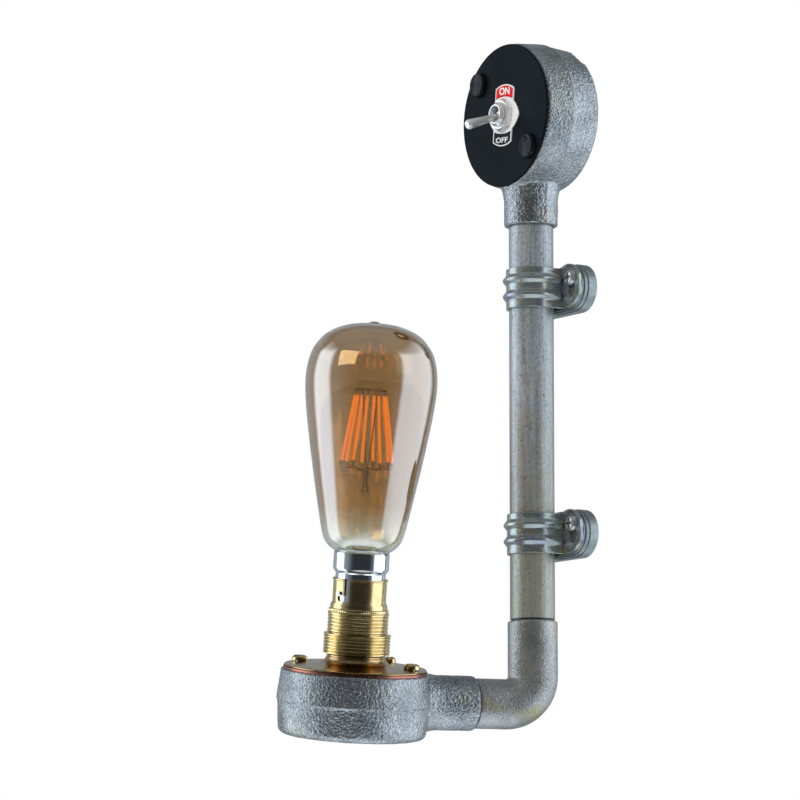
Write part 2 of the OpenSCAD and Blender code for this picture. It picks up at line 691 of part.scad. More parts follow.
// An outline with straight sides and round ends, standing along Y
module obround(l, w, y0, y1) translate([0, y0, 0]) {
    translate([-(l - w) / 2, 0, -w / 2]) cube([l - w, y1 - y0, w]);
    for (s = [-1, 1]) translate([s * (l - w) / 2, 0, 0]) rotate([-90, 0, 0])
        cylinder(d = w, h = y1 - y0, $fn = 64);
}
// Hollow spacer under the strap, with two tapped bosses and a boss for the wall screw
module saddle_base() color("darkgray") difference() {
    union() {
        difference() {
            union() {
                obround(base_len - 2.4, base_w - 2.4, ear_y, stand_off);
                obround(base_len - 1, base_w - 1, ear_y + 1.2, stand_off);
                obround(base_len, base_w, ear_y + 3, stand_off);
            }
            obround(base_len - 2 - 2 * base_wall, base_w - 2 - 2 * base_wall, ear_y + base_wall,
                stand_off + through);
        }
        rotate([-90, 0, 0]) translate([0, 0, ear_y]) cylinder(r = 6, h = base_h);
        for (s = [-1, 1]) translate([s * saddle_screw_x, 0, saddle_screw_z]) rotate([-90, 0, 0])
            translate([0, 0, ear_y]) cylinder(r = 3.4, h = base_h - 0.5);
    }
    rotate([-90, 0, 0]) cylinder(r = wall_hole_r, h = 2 * stand_off);
    for (s = [-1, 1]) translate([s * saddle_screw_x, 0, saddle_screw_z]) rotate([-90, 0, 0])
        cylinder(r = saddle_screw_r + running, h = 2 * stand_off);
}
module upper_saddle_base() at_saddle(saddle_pitch / 2) saddle_base();
module lower_saddle_base() at_saddle(-saddle_pitch / 2) saddle_base();

module saddle_screws() color("whitesmoke") for (z = [-1, 1], s = [-1, 1])
    at_saddle(z * saddle_pitch / 2 + saddle_screw_z)
        translate([s * saddle_screw_x, ear_y - strap_t, 0]) rotate([90, 0, 0])
            difference() {
                pan_screw(saddle_screw_r, 7.5, 3.5, 2.5);
                for (a = [0, 90]) rotate([0, 0, a]) translate([-2.2, -0.45, 1.4]) cube([4.4, 0.9, 2]);
            }

// Elbow: female at the top, male end in the lamp box's spout
module elbow() color("silver") at_arm() {
    shoulder = arm_reach - lamp_spout - loose;
    difference() {
        union() {
            translate([0, 0, bend_r]) rotate_extrude() polygon(concat([[0, 0], [elbow_r, 0]],
                arc([elbow_r - 0.6, elbow_leg - bend_r - 0.6], 0.6, 0, 90, 5), [[0, elbow_leg - bend_r]]));
            translate([-bend_r, 0, bend_r]) rotate([90, 0, 0]) rotate([0, 0, -90])
                rotate_extrude(angle = 90) translate([bend_r, 0]) circle(r = elbow_r);
            translate([-bend_r, 0, 0]) rotate([0, -90, 0]) cylinder(r = elbow_r, h = shoulder - bend_r);
            translate([-bend_r, 0, 0]) rotate([0, -90, 0]) cylinder(r = thread_r, h = arm_end - bend_r);
        }
        translate([0, 0, bend_r]) cylinder(r = spout_way_r, h = elbow_leg);
        translate([0, 0, elbow_leg - thread_len - 0.5])
            cylinder(r = thread_bore_r, h = thread_len + 2 * through);
        translate([-bend_r, 0, bend_r]) rotate([90, 0, 0]) rotate([0, 0, -90])
            rotate_extrude(angle = 90) translate([bend_r, 0]) circle(r = spout_way_r);
        translate([-bend_r, 0, 0]) rotate([0, -90, 0]) cylinder(r = spout_way_r, h = arm_end);
    }
}

module lamp_box() color("lightslategray") at_lamp() box_casting(lamp_spout, lamp_lug_angle);

module copper_gasket() color([0.72, 0.38, 0.24]) at_lamp() translate([0, 0, gasket_z]) difference() {
    ring(gasket_r, gasket_r - 8.4, gasket_t);
    at_both_lugs(lamp_lug_angle) translate([0, 0, -through])
        cylinder(r = box_screw_d / 2 + 0.2, h = gasket_t + 2 * through);
}

// Outline of the spun plate's upper side, from its edge to its neck
function plate_curve() = concat([[plate_r, 0.25], [plate_r, 0.7], [plate_r - 0.35, brass_t + 0.1],
    [26.5, brass_t + 0.45], [20, brass_t + 0.9], [16.8, 2.1]],
    arc([16.8, 6.1], 4, 270, 195, 8), [[neck_r + 0.75, 5.2], [neck_r + 0.75, 5.9], [neck_r, 6.15],
    [neck_r, neck_h]]);
earth_angle = 20;
earth_r = 18.8;
module holder_plate() color("goldenrod") at_lamp() translate([0, 0, plate_z]) difference() {
    rotate_extrude() polygon(concat(plate_curve(), [[neck_bore_r, neck_h], [neck_bore_r, 5],
        [neck_bore_r + 0.6, 3.4], [15.6, 1.1], [20, 0.6], [24, 0]]));
    at_both_lugs(lamp_lug_angle) translate([0, 0, -through])
        cylinder(r = box_screw_d / 2 + 0.2, h = 4);
    rotate([0, 0, earth_angle]) translate([earth_r, 0, -through]) cylinder(r = 1.6, h = 6);
}

plate_top = plate_z + brass_t + 0.8;
earth_seat = plate_z + brass_t + 1.5;
module plate_screws() color("goldenrod") at_lamp() translate([0, 0, plate_top]) at_both_lugs(lamp_lug_angle)
    difference() {
        pan_screw(screw_root_r, box_screw_len, box_head_r, box_head_h + 0.4);
        rotate([0, 0, 25]) translate([-5, -0.45, 1.3]) cube([10, 0.9, 3]);
    }

// Small screw with a nut under the plate, where the earth wire ends
module earth_screw() color("goldenrod") at_lamp() rotate([0, 0, earth_angle])
    translate([earth_r, 0, earth_seat]) {
        translate([0, 0, 0.4]) difference() {
            pan_screw(1.45, 7, 2.6, 2.1);
            translate([-4, -0.35, 1.2]) cube([8, 0.7, 3]);
        }
        cylinder(r = 2.9, h = 0.4);
        translate([0, 0, plate_z - earth_seat - 2]) cylinder(d = 5.5 / cos(30), h = 2.2, $fn = 6);
    }

// Lower ring that clamps the barrel's flange to the neck
module holder_ring() color([0.8, 0.62, 0.3]) at_lamp() translate([0, 0, ring_z]) {
    flange_low = neck_z - ring_z - 0.1;
    rotate_extrude() polygon(concat([[neck_r + 0.08, 0], [ring_r - 0.5, 0]],
        ribbed(ring_r, 0.6, 0.15, 1.62, 5), [[ring_r + 0.15, ring_h - 0.5], [ring_r + 0.15, ring_h],
        [barrel_thread_r + 0.1, ring_h], [barrel_thread_r + 0.1, flange_low + flange_t + 0.2],
        [flange_r + 0.1, flange_low + flange_t + 0.2], [flange_r + 0.1, flange_low],
        [neck_r + 0.08, flange_low]]));
}

// Upper ring on the barrel's thread, with a knurled lip and a stepped top
module shade_ring() color([0.8, 0.64, 0.3]) at_lamp() translate([0, 0, shade_z]) {
    bore = barrel_thread_r + 1.6 * running;
    top_bore = barrel_r + 1.6 * running;
    rotate_extrude() polygon(concat([[bore, 0], [shade_r - 0.55, 0]],
        ribbed(shade_r, 0.6, 0.2, 1.55, 5), [[shade_r + 0.15, 8.1], [shade_r + 0.15, 8.9],
        [shade_r - 0.5, 9.2], [shade_r - 0.35, 9.7], [shade_r - 0.35, 10.5], [shade_r - 0.85, 10.8],
        [shade_r - 0.75, 11.7], [top_bore + 0.5, shade_h - 0.5], [top_bore + 0.4, shade_h],
        [top_bore, shade_h], [top_bore, 9.4], [bore, 9.4]]));
}

// Bayonet barrel; each J slot is a straight entry, a turn and a seat for the pin
module holder_barrel() color("goldenrod") at_lamp() difference() {
    rotate_extrude() polygon([[barrel_bore_r, neck_z], [flange_r, neck_z],
        [flange_r, neck_z + flange_t], [barrel_thread_r, neck_z + flange_t],
        [barrel_thread_r, thread_top], [barrel_r, thread_top + 0.2], [barrel_r, barrel_top - 1],
        [barrel_r + 0.45, barrel_top - 0.7], [barrel_r + 0.45, barrel_top - 0.25],
        [barrel_r + 0.2, barrel_top], [barrel_bore_r, barrel_top]]);
    for (a = [0, 180]) {
        low = pin_z - push_travel - pin_r - loose + slot_half;
        slot_from(a + slot_angle, low, barrel_top + through);
        slot_from(a + pin_angle, low, pin_z + pin_r + 0.15 - slot_half);
        // The run between the entry and the seat
        mid = a + (slot_angle + pin_angle) / 2;
        run = 2 * barrel_bore_r * sin((slot_angle - pin_angle) / 2);
        rotate([0, 0, mid]) translate([barrel_bore_r - 3, -run / 2, low - slot_half])
            cube([6, run, 2 * slot_half]);
    }
}
// An upright slot through the barrel's wall, with round ends
module slot_from(a, z0, z1) rotate([0, 0, a]) {
    translate([barrel_bore_r - 2, -slot_half, z0]) cube([4, 2 * slot_half, z1 - z0]);
    for (z = [z0, z1]) translate([barrel_bore_r - 2, 0, z]) rotate([0, 90, 0]) cylinder(r = slot_half, h = 4);
}

module at_contacts() for (a = [contact_angle, contact_angle + 180]) rotate([0, 0, a])
    translate([plunger_pitch_r, 0, 0]) children();

// Moulded block with a well for each plunger, seated on the plate's neck
module contact_block() color([0.9, 0.88, 0.82]) at_lamp() difference() {
    translate([0, 0, neck_z]) cylinder(r = block_r, h = block_h);
    at_contacts() translate([0, 0, well_z]) cylinder(r = plunger_r + running, h = 20);
    at_contacts() translate([0, 0, neck_z - through]) cylinder(r = wire_r + 0.15, h = 4);
    at_contacts() translate([0, 0, neck_z + 2]) rotate([0, 90, 0]) cylinder(r = 1.3, h = 12);
}
module terminal_screws() color("goldenrod") at_lamp() at_contacts()
    translate([wire_r + 0.35, 0, neck_z + 2]) rotate([0, 90, 0]) cylinder(r = 1.2, h = 3);

// Cup-shaped plungers, open below for the springs
module contact_plungers() color("gold") at_lamp() at_contacts() difference() {
    rotate_extrude() polygon([[0, plunger_z], [plunger_r, plunger_z], [plunger_r, plunger_top - 0.8],
        [plunger_r - 0.8, plunger_top], [0, plunger_top]]);
    translate([0, 0, plunger_z - through]) cylinder(r = 1.5, h = 5 + through);
}
spring_r = 1.15;
spring_low = well_z + spring_wire / 2 + 0.05;
spring_high = plunger_z + 5 - spring_wire / 2 - 0.1;
// A helix with flat closed ends
function helix(turns, r, z0, z1) = [for (i = [0:8 * turns]) let (t = i / (8 * turns))
    [r * cos(360 * turns * t), r * sin(360 * turns * t), z0 + (z1 - z0) * t]];
module plunger_springs() color("silver") at_lamp() at_contacts()
    tube_along(helix(spring_curls, spring_r, spring_low, spring_high), spring_wire / 2, 6, [0.1, 0.2, 1]);
echo(least_spring_gap = (spring_high - spring_low) / spring_curls - spring_wire);

// Wires of the switch box and the conduit, in the switch box's frame
module wire(points, tint) color(tint) tube_along(points, wire_r, wire_sides);
function pipe_place(i) = [0, wire_places[i].x, -wire_places[i].y];
wire_bottom = box_height + pipe_end - wire_gap;
way_out = strip_y + strip_w / 2 - 3.4;
module line_link_wire() at_switch_box() wire(smooth([[way_x(0), way_out, way_z],
    [way_x(0), way_out + 5, way_z], [way_x(0) + 0.6, -7, way_z + 0.2], [-1.75, -3.6, way_z],
    [-1.75, 0.6, way_z - 0.1]], wire_steps), "peru");
module live_wire_upper() at_switch_box() wire(concat(smooth([[load_x + 1.7, -2, way_z - 0.4],
    [load_x + 1.7, 0.4, way_z - 0.4], [load_x + 4.6, 3, way_z + 0.4], [load_x + 11, 3, -3.2],
    [31, 0, 0] + pipe_place(0), [38, 0, 0] + pipe_place(0)], wire_steps),
    [[wire_bottom, 0, 0] + pipe_place(0)]), "saddlebrown");
module neutral_wire_upper() at_switch_box() wire(concat(smooth([[way_x(1), way_out, way_z],
    [way_x(1), way_out + 4.6, way_z], [way_x(1) + 3.6, -8.6, way_z], [15, -7, way_z + 0.6], [21, -5, -4.2],
    [31, 0, 0] + pipe_place(1), [38, 0, 0] + pipe_place(1)], wire_steps),
    [[wire_bottom, 0, 0] + pipe_place(1)]), "royalblue");
module earth_wire_upper() at_switch_box() wire(concat(smooth([[way_x(2), way_out, way_z],
    [way_x(2), way_out + 4.4, way_z + 0.3], [way_x(2) + 3, -10.2, way_z + 3.8], [21, -5.4, 1.2],
    [31, 0, 0] + pipe_place(2), [38, 0, 0] + pipe_place(2)], wire_steps),
    [[wire_bottom, 0, 0] + pipe_place(2)]), "olivedrab");

// Wires of the elbow, in the arm's frame: down, round the bend and out towards the lamp
function arm_place(i) = turned(wire_places[i], -(90 - arm_swing));
function bend_route(i) = let (p = arm_place(i)) concat(
    [[p.x, p.y, elbow_leg - thread_len - wire_gap]],
    [for (k = [0:bend_steps]) let (a = 90 * k / bend_steps)
        [-bend_r + (bend_r + p.x) * cos(a), p.y, bend_r - (bend_r + p.x) * sin(a)]],
    [[-arm_end + wire_gap, p.y, -p.x]]);
module live_wire_elbow() at_arm() wire(bend_route(0), "saddlebrown");
module neutral_wire_elbow() at_arm() wire(bend_route(1), "royalblue");
module earth_wire_elbow() at_arm() wire(bend_route(2), "olivedrab");

// Wires of the lamp box, in the lamp's frame, from the spout to their terminals
function lamp_place(i) = let (p = arm_place(i)) turned([p.y, -p.x], -lamp_tilt);
function lamp_start(i, x) = [x, lamp_place(i).x, lamp_place(i).y];
wire_start = lamp_spout - thread_len - wire_gap;
live_spot = plunger_pitch_r * [cos(contact_angle + 180), sin(contact_angle + 180)];
module live_wire_lower() at_lamp() wire(smooth([lamp_start(0, wire_start), lamp_start(0, 33),
    [20, -3.4, -0.6], [8, -5, 4.5], [live_spot.x, live_spot.y, 13], [live_spot.x, live_spot.y, neck_z - 3],
    [live_spot.x, live_spot.y, neck_z + 2.6]], wire_steps), "saddlebrown");
module neutral_wire_lower() at_lamp() wire(smooth([lamp_start(1, wire_start), lamp_start(1, 33),
    [20, 3.6, -0.6], [8, 5.2, 4.5], [-live_spot.x, -live_spot.y, 13],
    [-live_spot.x, -live_spot.y, neck_z - 3], [-live_spot.x, -live_spot.y, neck_z + 2.6]], wire_steps),
    "royalblue");
earth_spot = earth_r * [cos(earth_angle), sin(earth_angle)];
module earth_wire_lower() at_lamp() wire(smooth([lamp_start(2, wire_start), lamp_start(2, 34),
    [28.5, 1, 3.4], [24, 5, 6], [earth_spot.x + 1, earth_spot.y, plate_z - 6.4],
    [earth_spot.x - 3.2, earth_spot.y, plate_z - 5.4]], wire_steps), "olivedrab");

// Glass envelope: cone, belly and dome, with a small sealed tip
// The cone's points, as shares of the belly's radius and height
cone_points = [[0.6215, 0.1173], [0.9479, 0.7905], [0.9844, 0.8799]];
function dome(r, h, n) = [for (i = [0:n]) let (a = 90 * i / n)
    [r * pow(cos(a), 2 / dome_power), belly_z + h * pow(sin(a), 2 / dome_power)]];
function glass_outline(t) = concat([[glass_neck_r - t, glass_base - seal_len],
    [glass_neck_r - t, glass_base]],
    arc([glass_neck_r - t, glass_base + neck_round + t], neck_round, 270, 345, 5),
    [for (p = cone_points) [p.x * glass_r - t, glass_base + p.y * (belly_z - glass_base)]],
    dome(glass_r - t, dome_h - pip_h - t, 16));
module bulb_glass() color([0.75, 0.5, 0.25, 0.5]) at_lamp() {
    outer = glass_outline(0);
    inner = glass_outline(glass_t);
    rotate_extrude() polygon(concat(outer, [for (i = [len(inner) - 1:-1:0]) inner[i]]));
    translate([0, 0, glass_tip - 1.5]) rotate_extrude() polygon([[0, 0], [2.6, 0], [1.6, 0.9], [0.7, 1.4],
        [0, 1.5]]);
}

// Chrome cap: thin shell with a shoulder, and two bayonet pins
module bulb_cap() color("whitesmoke") at_lamp() {
    rotate_extrude() polygon([[cap_shell_r - shell_t, cap_bottom], [cap_shell_r, cap_bottom],
        [cap_shell_r, neck_step - 1], [cap_shell_r + 0.35, neck_step - 0.4],
        [cap_top_r - 0.2, neck_step + 0.5],
        [cap_top_r, neck_step + 1.2], [cap_top_r, cap_top - 0.6], [cap_top_r - 0.15, cap_top],
        [cap_top_r - shell_t, cap_top], [cap_top_r - shell_t, neck_step + 1.3],
        [cap_shell_r - shell_t, neck_step - 0.6]]);
    for (a = [pin_angle, pin_angle + 180]) rotate([0, 0, a]) translate([cap_shell_r - 0.2, 0, pin_z])
        rotate([0, 90, 0]) cylinder(r = pin_r, h = 2);
}
module cap_insulator() color([0.08, 0.07, 0.09]) at_lamp() difference() {
    translate([0, 0, cap_bottom - 0.5]) cylinder(r = cap_shell_r - shell_t - running, h = insulator_h);
    at_contacts() translate([0, 0, cap_bottom - 2]) cylinder(r = 1.5, h = 10);
}
module cap_contacts() color("silver") at_lamp() at_contacts() {
    translate([0, 0, contact_z + 0.6]) cylinder(r = 1.45, h = insulator_h - 0.4);
    rotate_extrude() polygon(concat([[0, contact_z]], arc([0, contact_z + 2.2], 2.2, 270, 312, 5),
        [[0, contact_z + 0.6]]));
}

stem_r = 4.2;
stem_flare = 4;
// Glass stem: a flared foot sealed in the neck, and a rod that carries the wires
module bulb_stem() color([0.9, 0.95, 0.9, 0.6]) at_lamp() rotate_extrude() polygon(concat(
    [[0, glass_base - 3.6], [glass_neck_r - glass_t - 0.05, glass_base - 3.6],
    [glass_neck_r - glass_t - 0.05, glass_base - 2.6]],
    arc([stem_r + stem_flare, glass_base + stem_flare - 2.6], stem_flare, 270, 182, 6),
    [[stem_r - 0.5, glass_base + 10], [stem_r - 0.9, stem_top - 6], [stem_r - 1.6, stem_top - 2.4],
    [1, stem_top], [0, stem_top]]));

lead_r = 0.25;
function filament_angle(i) = 360 * i / filaments + 21;
filament_lean = asin((filament_low_r - filament_high_r) / filament_len);
// Filament sticks, leaning in towards the top
module led_filaments() color([1, 0.5, 0.15]) at_lamp() for (i = [0:filaments - 1])
    rotate([0, 0, filament_angle(i)]) translate([filament_low_r, 0, filament_base])
        rotate([0, -filament_lean, 0]) cylinder(r = filament_r, h = filament_len);

// Centre wire, an arm to each filament's foot, a ring of wire at the top and its two supports
module filament_leads() color([0.25, 0.2, 0.18]) at_lamp() {
    tie_z = filament_base - 1.6;
    top_z = filament_base + filament_len * cos(filament_lean) + 0.9;
    translate([0, 0, stem_top + 0.02]) cylinder(r = 0.9, h = tie_z - stem_top + 0.8);
    for (i = [0:filaments - 1]) rotate([0, 0, filament_angle(i)]) {
        translate([0.5, 0, tie_z]) rotate([0, 90, 0]) cylinder(r = lead_r, h = filament_low_r - 0.3);
        translate([filament_low_r, 0, tie_z]) cylinder(r = lead_r - 0.03, h = 1.5);
        translate([filament_high_r, 0, top_z - 0.8]) cylinder(r = lead_r - 0.03, h = 0.8);
    }
    translate([0, 0, top_z]) rotate_extrude() translate([filament_high_r, 0]) circle(r = lead_r);
    rise = top_z - tie_z - 0.2;
    for (i = [0.5, filaments / 2 + 0.5]) rotate([0, 0, filament_angle(i)]) translate([0.5, 0, tie_z + 0.2])
        rotate([0, atan((filament_high_r - 0.5) / rise), 0])
            cylinder(r = lead_r - 0.02, h = norm([filament_high_r - 0.5, rise]));
}

switch_box();
switch_cover();
cover_screws();
screw_caps();
switch_label();
front_nut();
lock_washer();
rear_nut();
switch_bushing();
lever_pin();
switch_body();
toggle_lever();
lever_plunger();
contact_rocker();
line_terminal();
load_terminal();
connector_block();
connector_screws();
cable_grommet();
conduit_pipe();
upper_saddle_strap();
lower_saddle_strap();
upper_saddle_base();
lower_saddle_base();
saddle_screws();
line_link_wire();
live_wire_upper();
neutral_wire_upper();
earth_wire_upper();
elbow();
live_wire_elbow();
neutral_wire_elbow();
earth_wire_elbow();
lamp_box();
copper_gasket();
holder_plate();
plate_screws();
earth_screw();
holder_ring();
shade_ring();
holder_barrel();
contact_block();
terminal_screws();
contact_plungers();
plunger_springs();
live_wire_lower();
neutral_wire_lower();
earth_wire_lower();
bulb_glass();
bulb_cap();
cap_insulator();
cap_contacts();
bulb_stem();
filament_leads();
led_filaments();
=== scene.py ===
"""Dresses the pipe wall light: castings, conduit, saddles, switch, lamp holder and bulb.

Lengths in the classes are millimetres in the piece's own seat; the meshes are in metres in the model's frame.
"""

from __future__ import annotations

import sys

import json
import logging
import math
from collections.abc import Callable
from dataclasses import dataclass, field
from enum import Enum
from functools import partial
from typing import Protocol

import bmesh
import bpy
import numpy as np
from mathutils import Matrix, Vector

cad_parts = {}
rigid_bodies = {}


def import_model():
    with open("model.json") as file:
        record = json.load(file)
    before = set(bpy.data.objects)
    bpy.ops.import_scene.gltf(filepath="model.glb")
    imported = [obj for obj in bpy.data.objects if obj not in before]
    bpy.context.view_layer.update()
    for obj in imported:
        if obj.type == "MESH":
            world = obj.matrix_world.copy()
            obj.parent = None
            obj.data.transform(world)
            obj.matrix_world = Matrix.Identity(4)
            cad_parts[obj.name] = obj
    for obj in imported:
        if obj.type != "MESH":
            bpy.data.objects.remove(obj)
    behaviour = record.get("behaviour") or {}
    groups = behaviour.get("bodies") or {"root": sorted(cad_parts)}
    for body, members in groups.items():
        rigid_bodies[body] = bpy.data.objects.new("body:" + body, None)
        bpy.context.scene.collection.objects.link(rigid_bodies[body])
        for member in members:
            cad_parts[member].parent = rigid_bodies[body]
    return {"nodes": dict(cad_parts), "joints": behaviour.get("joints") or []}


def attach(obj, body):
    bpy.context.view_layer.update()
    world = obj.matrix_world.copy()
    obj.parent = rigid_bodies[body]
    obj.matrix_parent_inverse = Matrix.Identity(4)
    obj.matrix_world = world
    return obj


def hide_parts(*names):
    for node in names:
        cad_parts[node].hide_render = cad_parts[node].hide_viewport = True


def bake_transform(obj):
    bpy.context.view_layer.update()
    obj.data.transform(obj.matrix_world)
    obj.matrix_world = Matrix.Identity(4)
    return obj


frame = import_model()
log = logging.getLogger("wall_light")

Colour = tuple[float, float, float]
Place = tuple[float, float, float]
Pair = tuple[float, float]
Socket = bpy.types.NodeSocket
Shape = bpy.types.Object
Mesh = bpy.types.Mesh
Material = bpy.types.Material
Measure = Callable[[np.ndarray], np.ndarray]
Swell = Callable[[np.ndarray, np.ndarray], np.ndarray]
MM = 0.001
WELD = 2e-6  # points of a machined solid closer than this, in metres, are one


@dataclass(frozen=True)
class Seat:
    """A place in the model's frame with its own x, y and z directions."""

    origin: Place
    x_axis: Place
    z_axis: Place

    @property
    def turn(self) -> np.ndarray:
        """The seat's directions: z as given, x made square to it, and y = z cross x.

        Returns:
            A rotation with the three directions as its columns.
        """
        x, z = np.array(self.x_axis, float), np.array(self.z_axis, float)
        z /= np.linalg.norm(z)
        x -= z * (x @ z)
        x /= np.linalg.norm(x)
        return np.stack([x, np.cross(z, x), z], axis=1)

    def place(self, points: np.ndarray) -> np.ndarray:
        """Millimetres of this seat as metres of the frame: origin plus turn times the point."""
        return np.asarray(points, float) * MM @ self.turn.T + np.array(self.origin)

    def local(self, points: np.ndarray) -> np.ndarray:
        """Metres of the frame as millimetres of this seat."""
        return (np.asarray(points, float) - np.array(self.origin)) @ self.turn / MM


def joint(name: str) -> dict:
    """The record's joint of that name."""
    return next(j for j in frame["joints"] if j["name"] == name)


WALL = Seat((0, 0, 0), (1, 0, 0), (0, 0, 1))
PIPE_Y = -0.0175
SWITCH_Z = 0.133
SADDLE_Z = {"upper": 0.055, "lower": -0.055}
LABEL_DOWN = (-0.1045285, 0, -0.9945219)  # six degrees round from straight down
PIPE = Seat((0, PIPE_Y, 0), (1, 0, 0), (0, 0, 1))
SWITCH = Seat((0, PIPE_Y, SWITCH_Z), (0, 0, -1), (0, -1, 0))
LABEL = Seat((0, PIPE_Y, SWITCH_Z), LABEL_DOWN, (0, -1, 0))
SADDLES = {end: Seat((0, PIPE_Y, z), (1, 0, 0), (0, 0, 1)) for end, z in SADDLE_Z.items()}
ARM = Seat(tuple(joint("arm_swing")["pos_m"]), tuple(-x for x in joint("lamp_turn")["axis"]), (0, 0, 1))
LAMP = Seat(tuple(joint("shade_ring_turn")["pos_m"]), ARM.x_axis, tuple(joint("shade_ring_turn")["axis"]))


# Meshes


def linked(name: str, data: bpy.types.ID) -> Shape:
    """An object of that data, put into the scene.

    Args:
        name: the object's name.
        data: its mesh, text, camera or lamp.

    Returns:
        The object.
    """
    made = bpy.data.objects.new(name, data)
    bpy.context.scene.collection.objects.link(made)
    return made


def baked(shape: Shape) -> Mesh:
    """Turns lettering or a shape with modifiers into a plain mesh.

    Args:
        shape: the shape, which is removed.

    Returns:
        Its final mesh.
    """
    graph = bpy.context.evaluated_depsgraph_get()
    mesh = bpy.data.meshes.new_from_object(shape.evaluated_get(graph))
    bpy.data.objects.remove(shape)
    return mesh


def surface(name: str, *grids: np.ndarray, wrap_u: bool = False, wrap_v: bool = False) -> Shape:
    """A mesh from grids of points: point (i, j) is joined to (i + 1, j) and (i, j + 1).

    Args:
        name: the object's name.
        grids: grids of shape (nu, nv, 3) in metres.
        wrap_u: joins the last row to the first.
        wrap_v: joins the last column to the first.

    Returns:
        The object, with doubled points merged and its faces pointing outwards.
    """
    points, quads, start = [], [], 0
    for grid in grids:
        nu, nv = grid.shape[:2]
        rows = start + np.arange(nu * nv).reshape(nu, nv)
        start += nu * nv
        rows = np.vstack([rows, rows[:1]]) if wrap_u else rows
        rows = np.hstack([rows, rows[:, :1]]) if wrap_v else rows
        cells = np.stack([rows[:-1, :-1], rows[1:, :-1], rows[1:, 1:], rows[:-1, 1:]], axis=-1)
        quads += cells.reshape(-1, 4).tolist()
        points += grid.reshape(-1, 3).tolist()
    mesh = bpy.data.meshes.new(name)
    mesh.from_pydata(points, [], quads)
    return shape_of(name, mesh)


def shape_of(name: str, mesh: Mesh, merge: float = 1e-6) -> Shape:
    """An object of a mesh whose doubled points are merged and whose faces point outwards.

    Args:
        name: the object's name.
        mesh: the mesh, which is changed.
        merge: points closer than this, in metres, become one.

    Returns:
        The object, smoothly shaded.
    """
    work = bmesh.new()
    work.from_mesh(mesh)
    bmesh.ops.remove_doubles(work, verts=work.verts, dist=merge)
    bmesh.ops.dissolve_degenerate(work, edges=work.edges, dist=merge)
    bmesh.ops.recalc_face_normals(work, faces=work.faces)
    work.to_mesh(mesh)
    work.free()
    return smooth(linked(name, mesh))


def smooth(shape: Shape, angle: float = 35.0) -> Shape:
    """Shades a shape smoothly, apart from its sharp edges.

    Args:
        shape: the shape.
        angle: edges sharper than this, in degrees, stay sharp.

    Returns:
        The shape.
    """
    shape.data.polygons.foreach_set("use_smooth", np.ones(len(shape.data.polygons), bool))
    shape.data.set_sharp_from_angle(angle=math.radians(angle))
    return shape


def points_of(mesh: Mesh, what: str = "co") -> np.ndarray:
    """The mesh's points, or what else each point has.

    Args:
        mesh: the mesh.
        what: co for the places, or normal for the normals.

    Returns:
        An array of shape (n, 3).
    """
    values = np.empty(len(mesh.vertices) * 3, np.float32)
    mesh.vertices.foreach_get(what, values)
    return values.reshape(-1, 3).astype(float)


def move_points(mesh: Mesh, points: np.ndarray) -> None:
    """Puts an array of shape (n, 3) back as the mesh's points."""
    mesh.vertices.foreach_set("co", points.astype(np.float32).ravel())
    mesh.update()


def softened(profile: list[Pair], reach: float = 0.12, steps: int = 3) -> np.ndarray:
    """A closed outline with its corners rounded.

    Each corner P becomes the parabola (1 - t)^2 A + 2 t (1 - t) P + t^2 C, where A and C lie on its two sides,
    the reach away from P or 0.45 of the side. A corner on the axis stays as it is.

    Args:
        profile: the corners (r, z) in millimetres.
        reach: how far a rounding goes along a side.
        steps: points on each rounding.

    Returns:
        The outline, of shape (n, 2).
    """
    p = np.array(profile, float)
    sides = [np.roll(p, 1, axis=0) - p, np.roll(p, -1, axis=0) - p]
    ends = []
    for side in sides:
        length = np.maximum(np.linalg.norm(side, axis=1), 1e-9)
        cut = np.minimum(reach, 0.45 * length) * (p[:, 0] > 1e-6)
        ends.append(p + side * (cut / length)[:, None])
    t = np.linspace(0, 1, steps)[None, :, None]
    a, c = ends[0][:, None], ends[1][:, None]
    return ((1 - t) ** 2 * a + 2 * t * (1 - t) * p[:, None] + t**2 * c).reshape(-1, 2)


def turned(name: str, profile: np.ndarray, around: int, swell: Swell | None = None) -> Shape:
    """A turned piece: each profile point (r, z) runs round the lamp's axis, (r cos a, r sin a, z).

    Args:
        name: the object's name.
        profile: closed outline of shape (n, 2) in millimetres.
        around: points round the axis.
        swell: what is added to the radius, from the grids of angle and height.

    Returns:
        The piece.
    """
    angle = np.linspace(0, 2 * math.pi, around, endpoint=False)[:, None] + np.zeros(len(profile))
    r, z = profile[:, 0] + 0 * angle, profile[:, 1] + 0 * angle
    if swell:
        r = r + swell(angle, z)
    grid = np.stack([r * np.cos(angle), r * np.sin(angle), z], axis=-1)
    return surface(name, LAMP.place(grid), wrap_u=True, wrap_v=True)


def strand(path: np.ndarray, radius: float | np.ndarray, around: int = 8) -> np.ndarray:
    """A round wire along a path: path(t) + radius (cos a U + sin a V), with U and V square to the path.

    Args:
        path: points of shape (n, 3).
        radius: one radius, or one for each point.
        around: points round the wire.

    Returns:
        The wire's grid, closed to a point at both ends.
    """
    along = np.gradient(path, axis=0)
    along /= np.maximum(np.linalg.norm(along, axis=1), 1e-9)[:, None]
    guide = np.eye(3)[np.argmin(np.abs(along).sum(axis=0))]
    u = np.cross(along, guide)
    u /= np.linalg.norm(u, axis=1)[:, None]
    v = np.cross(along, u)
    angle = np.linspace(0, 2 * math.pi, around, endpoint=False)[None, :, None]
    reach = (np.zeros(len(path)) + radius)[:, None, None]
    skin = path[:, None] + reach * (np.cos(angle) * u[:, None] + np.sin(angle) * v[:, None])
    ends = [np.repeat(path[i][None, None], around, axis=1) for i in (0, -1)]
    return np.concatenate([ends[0], skin, ends[1]])


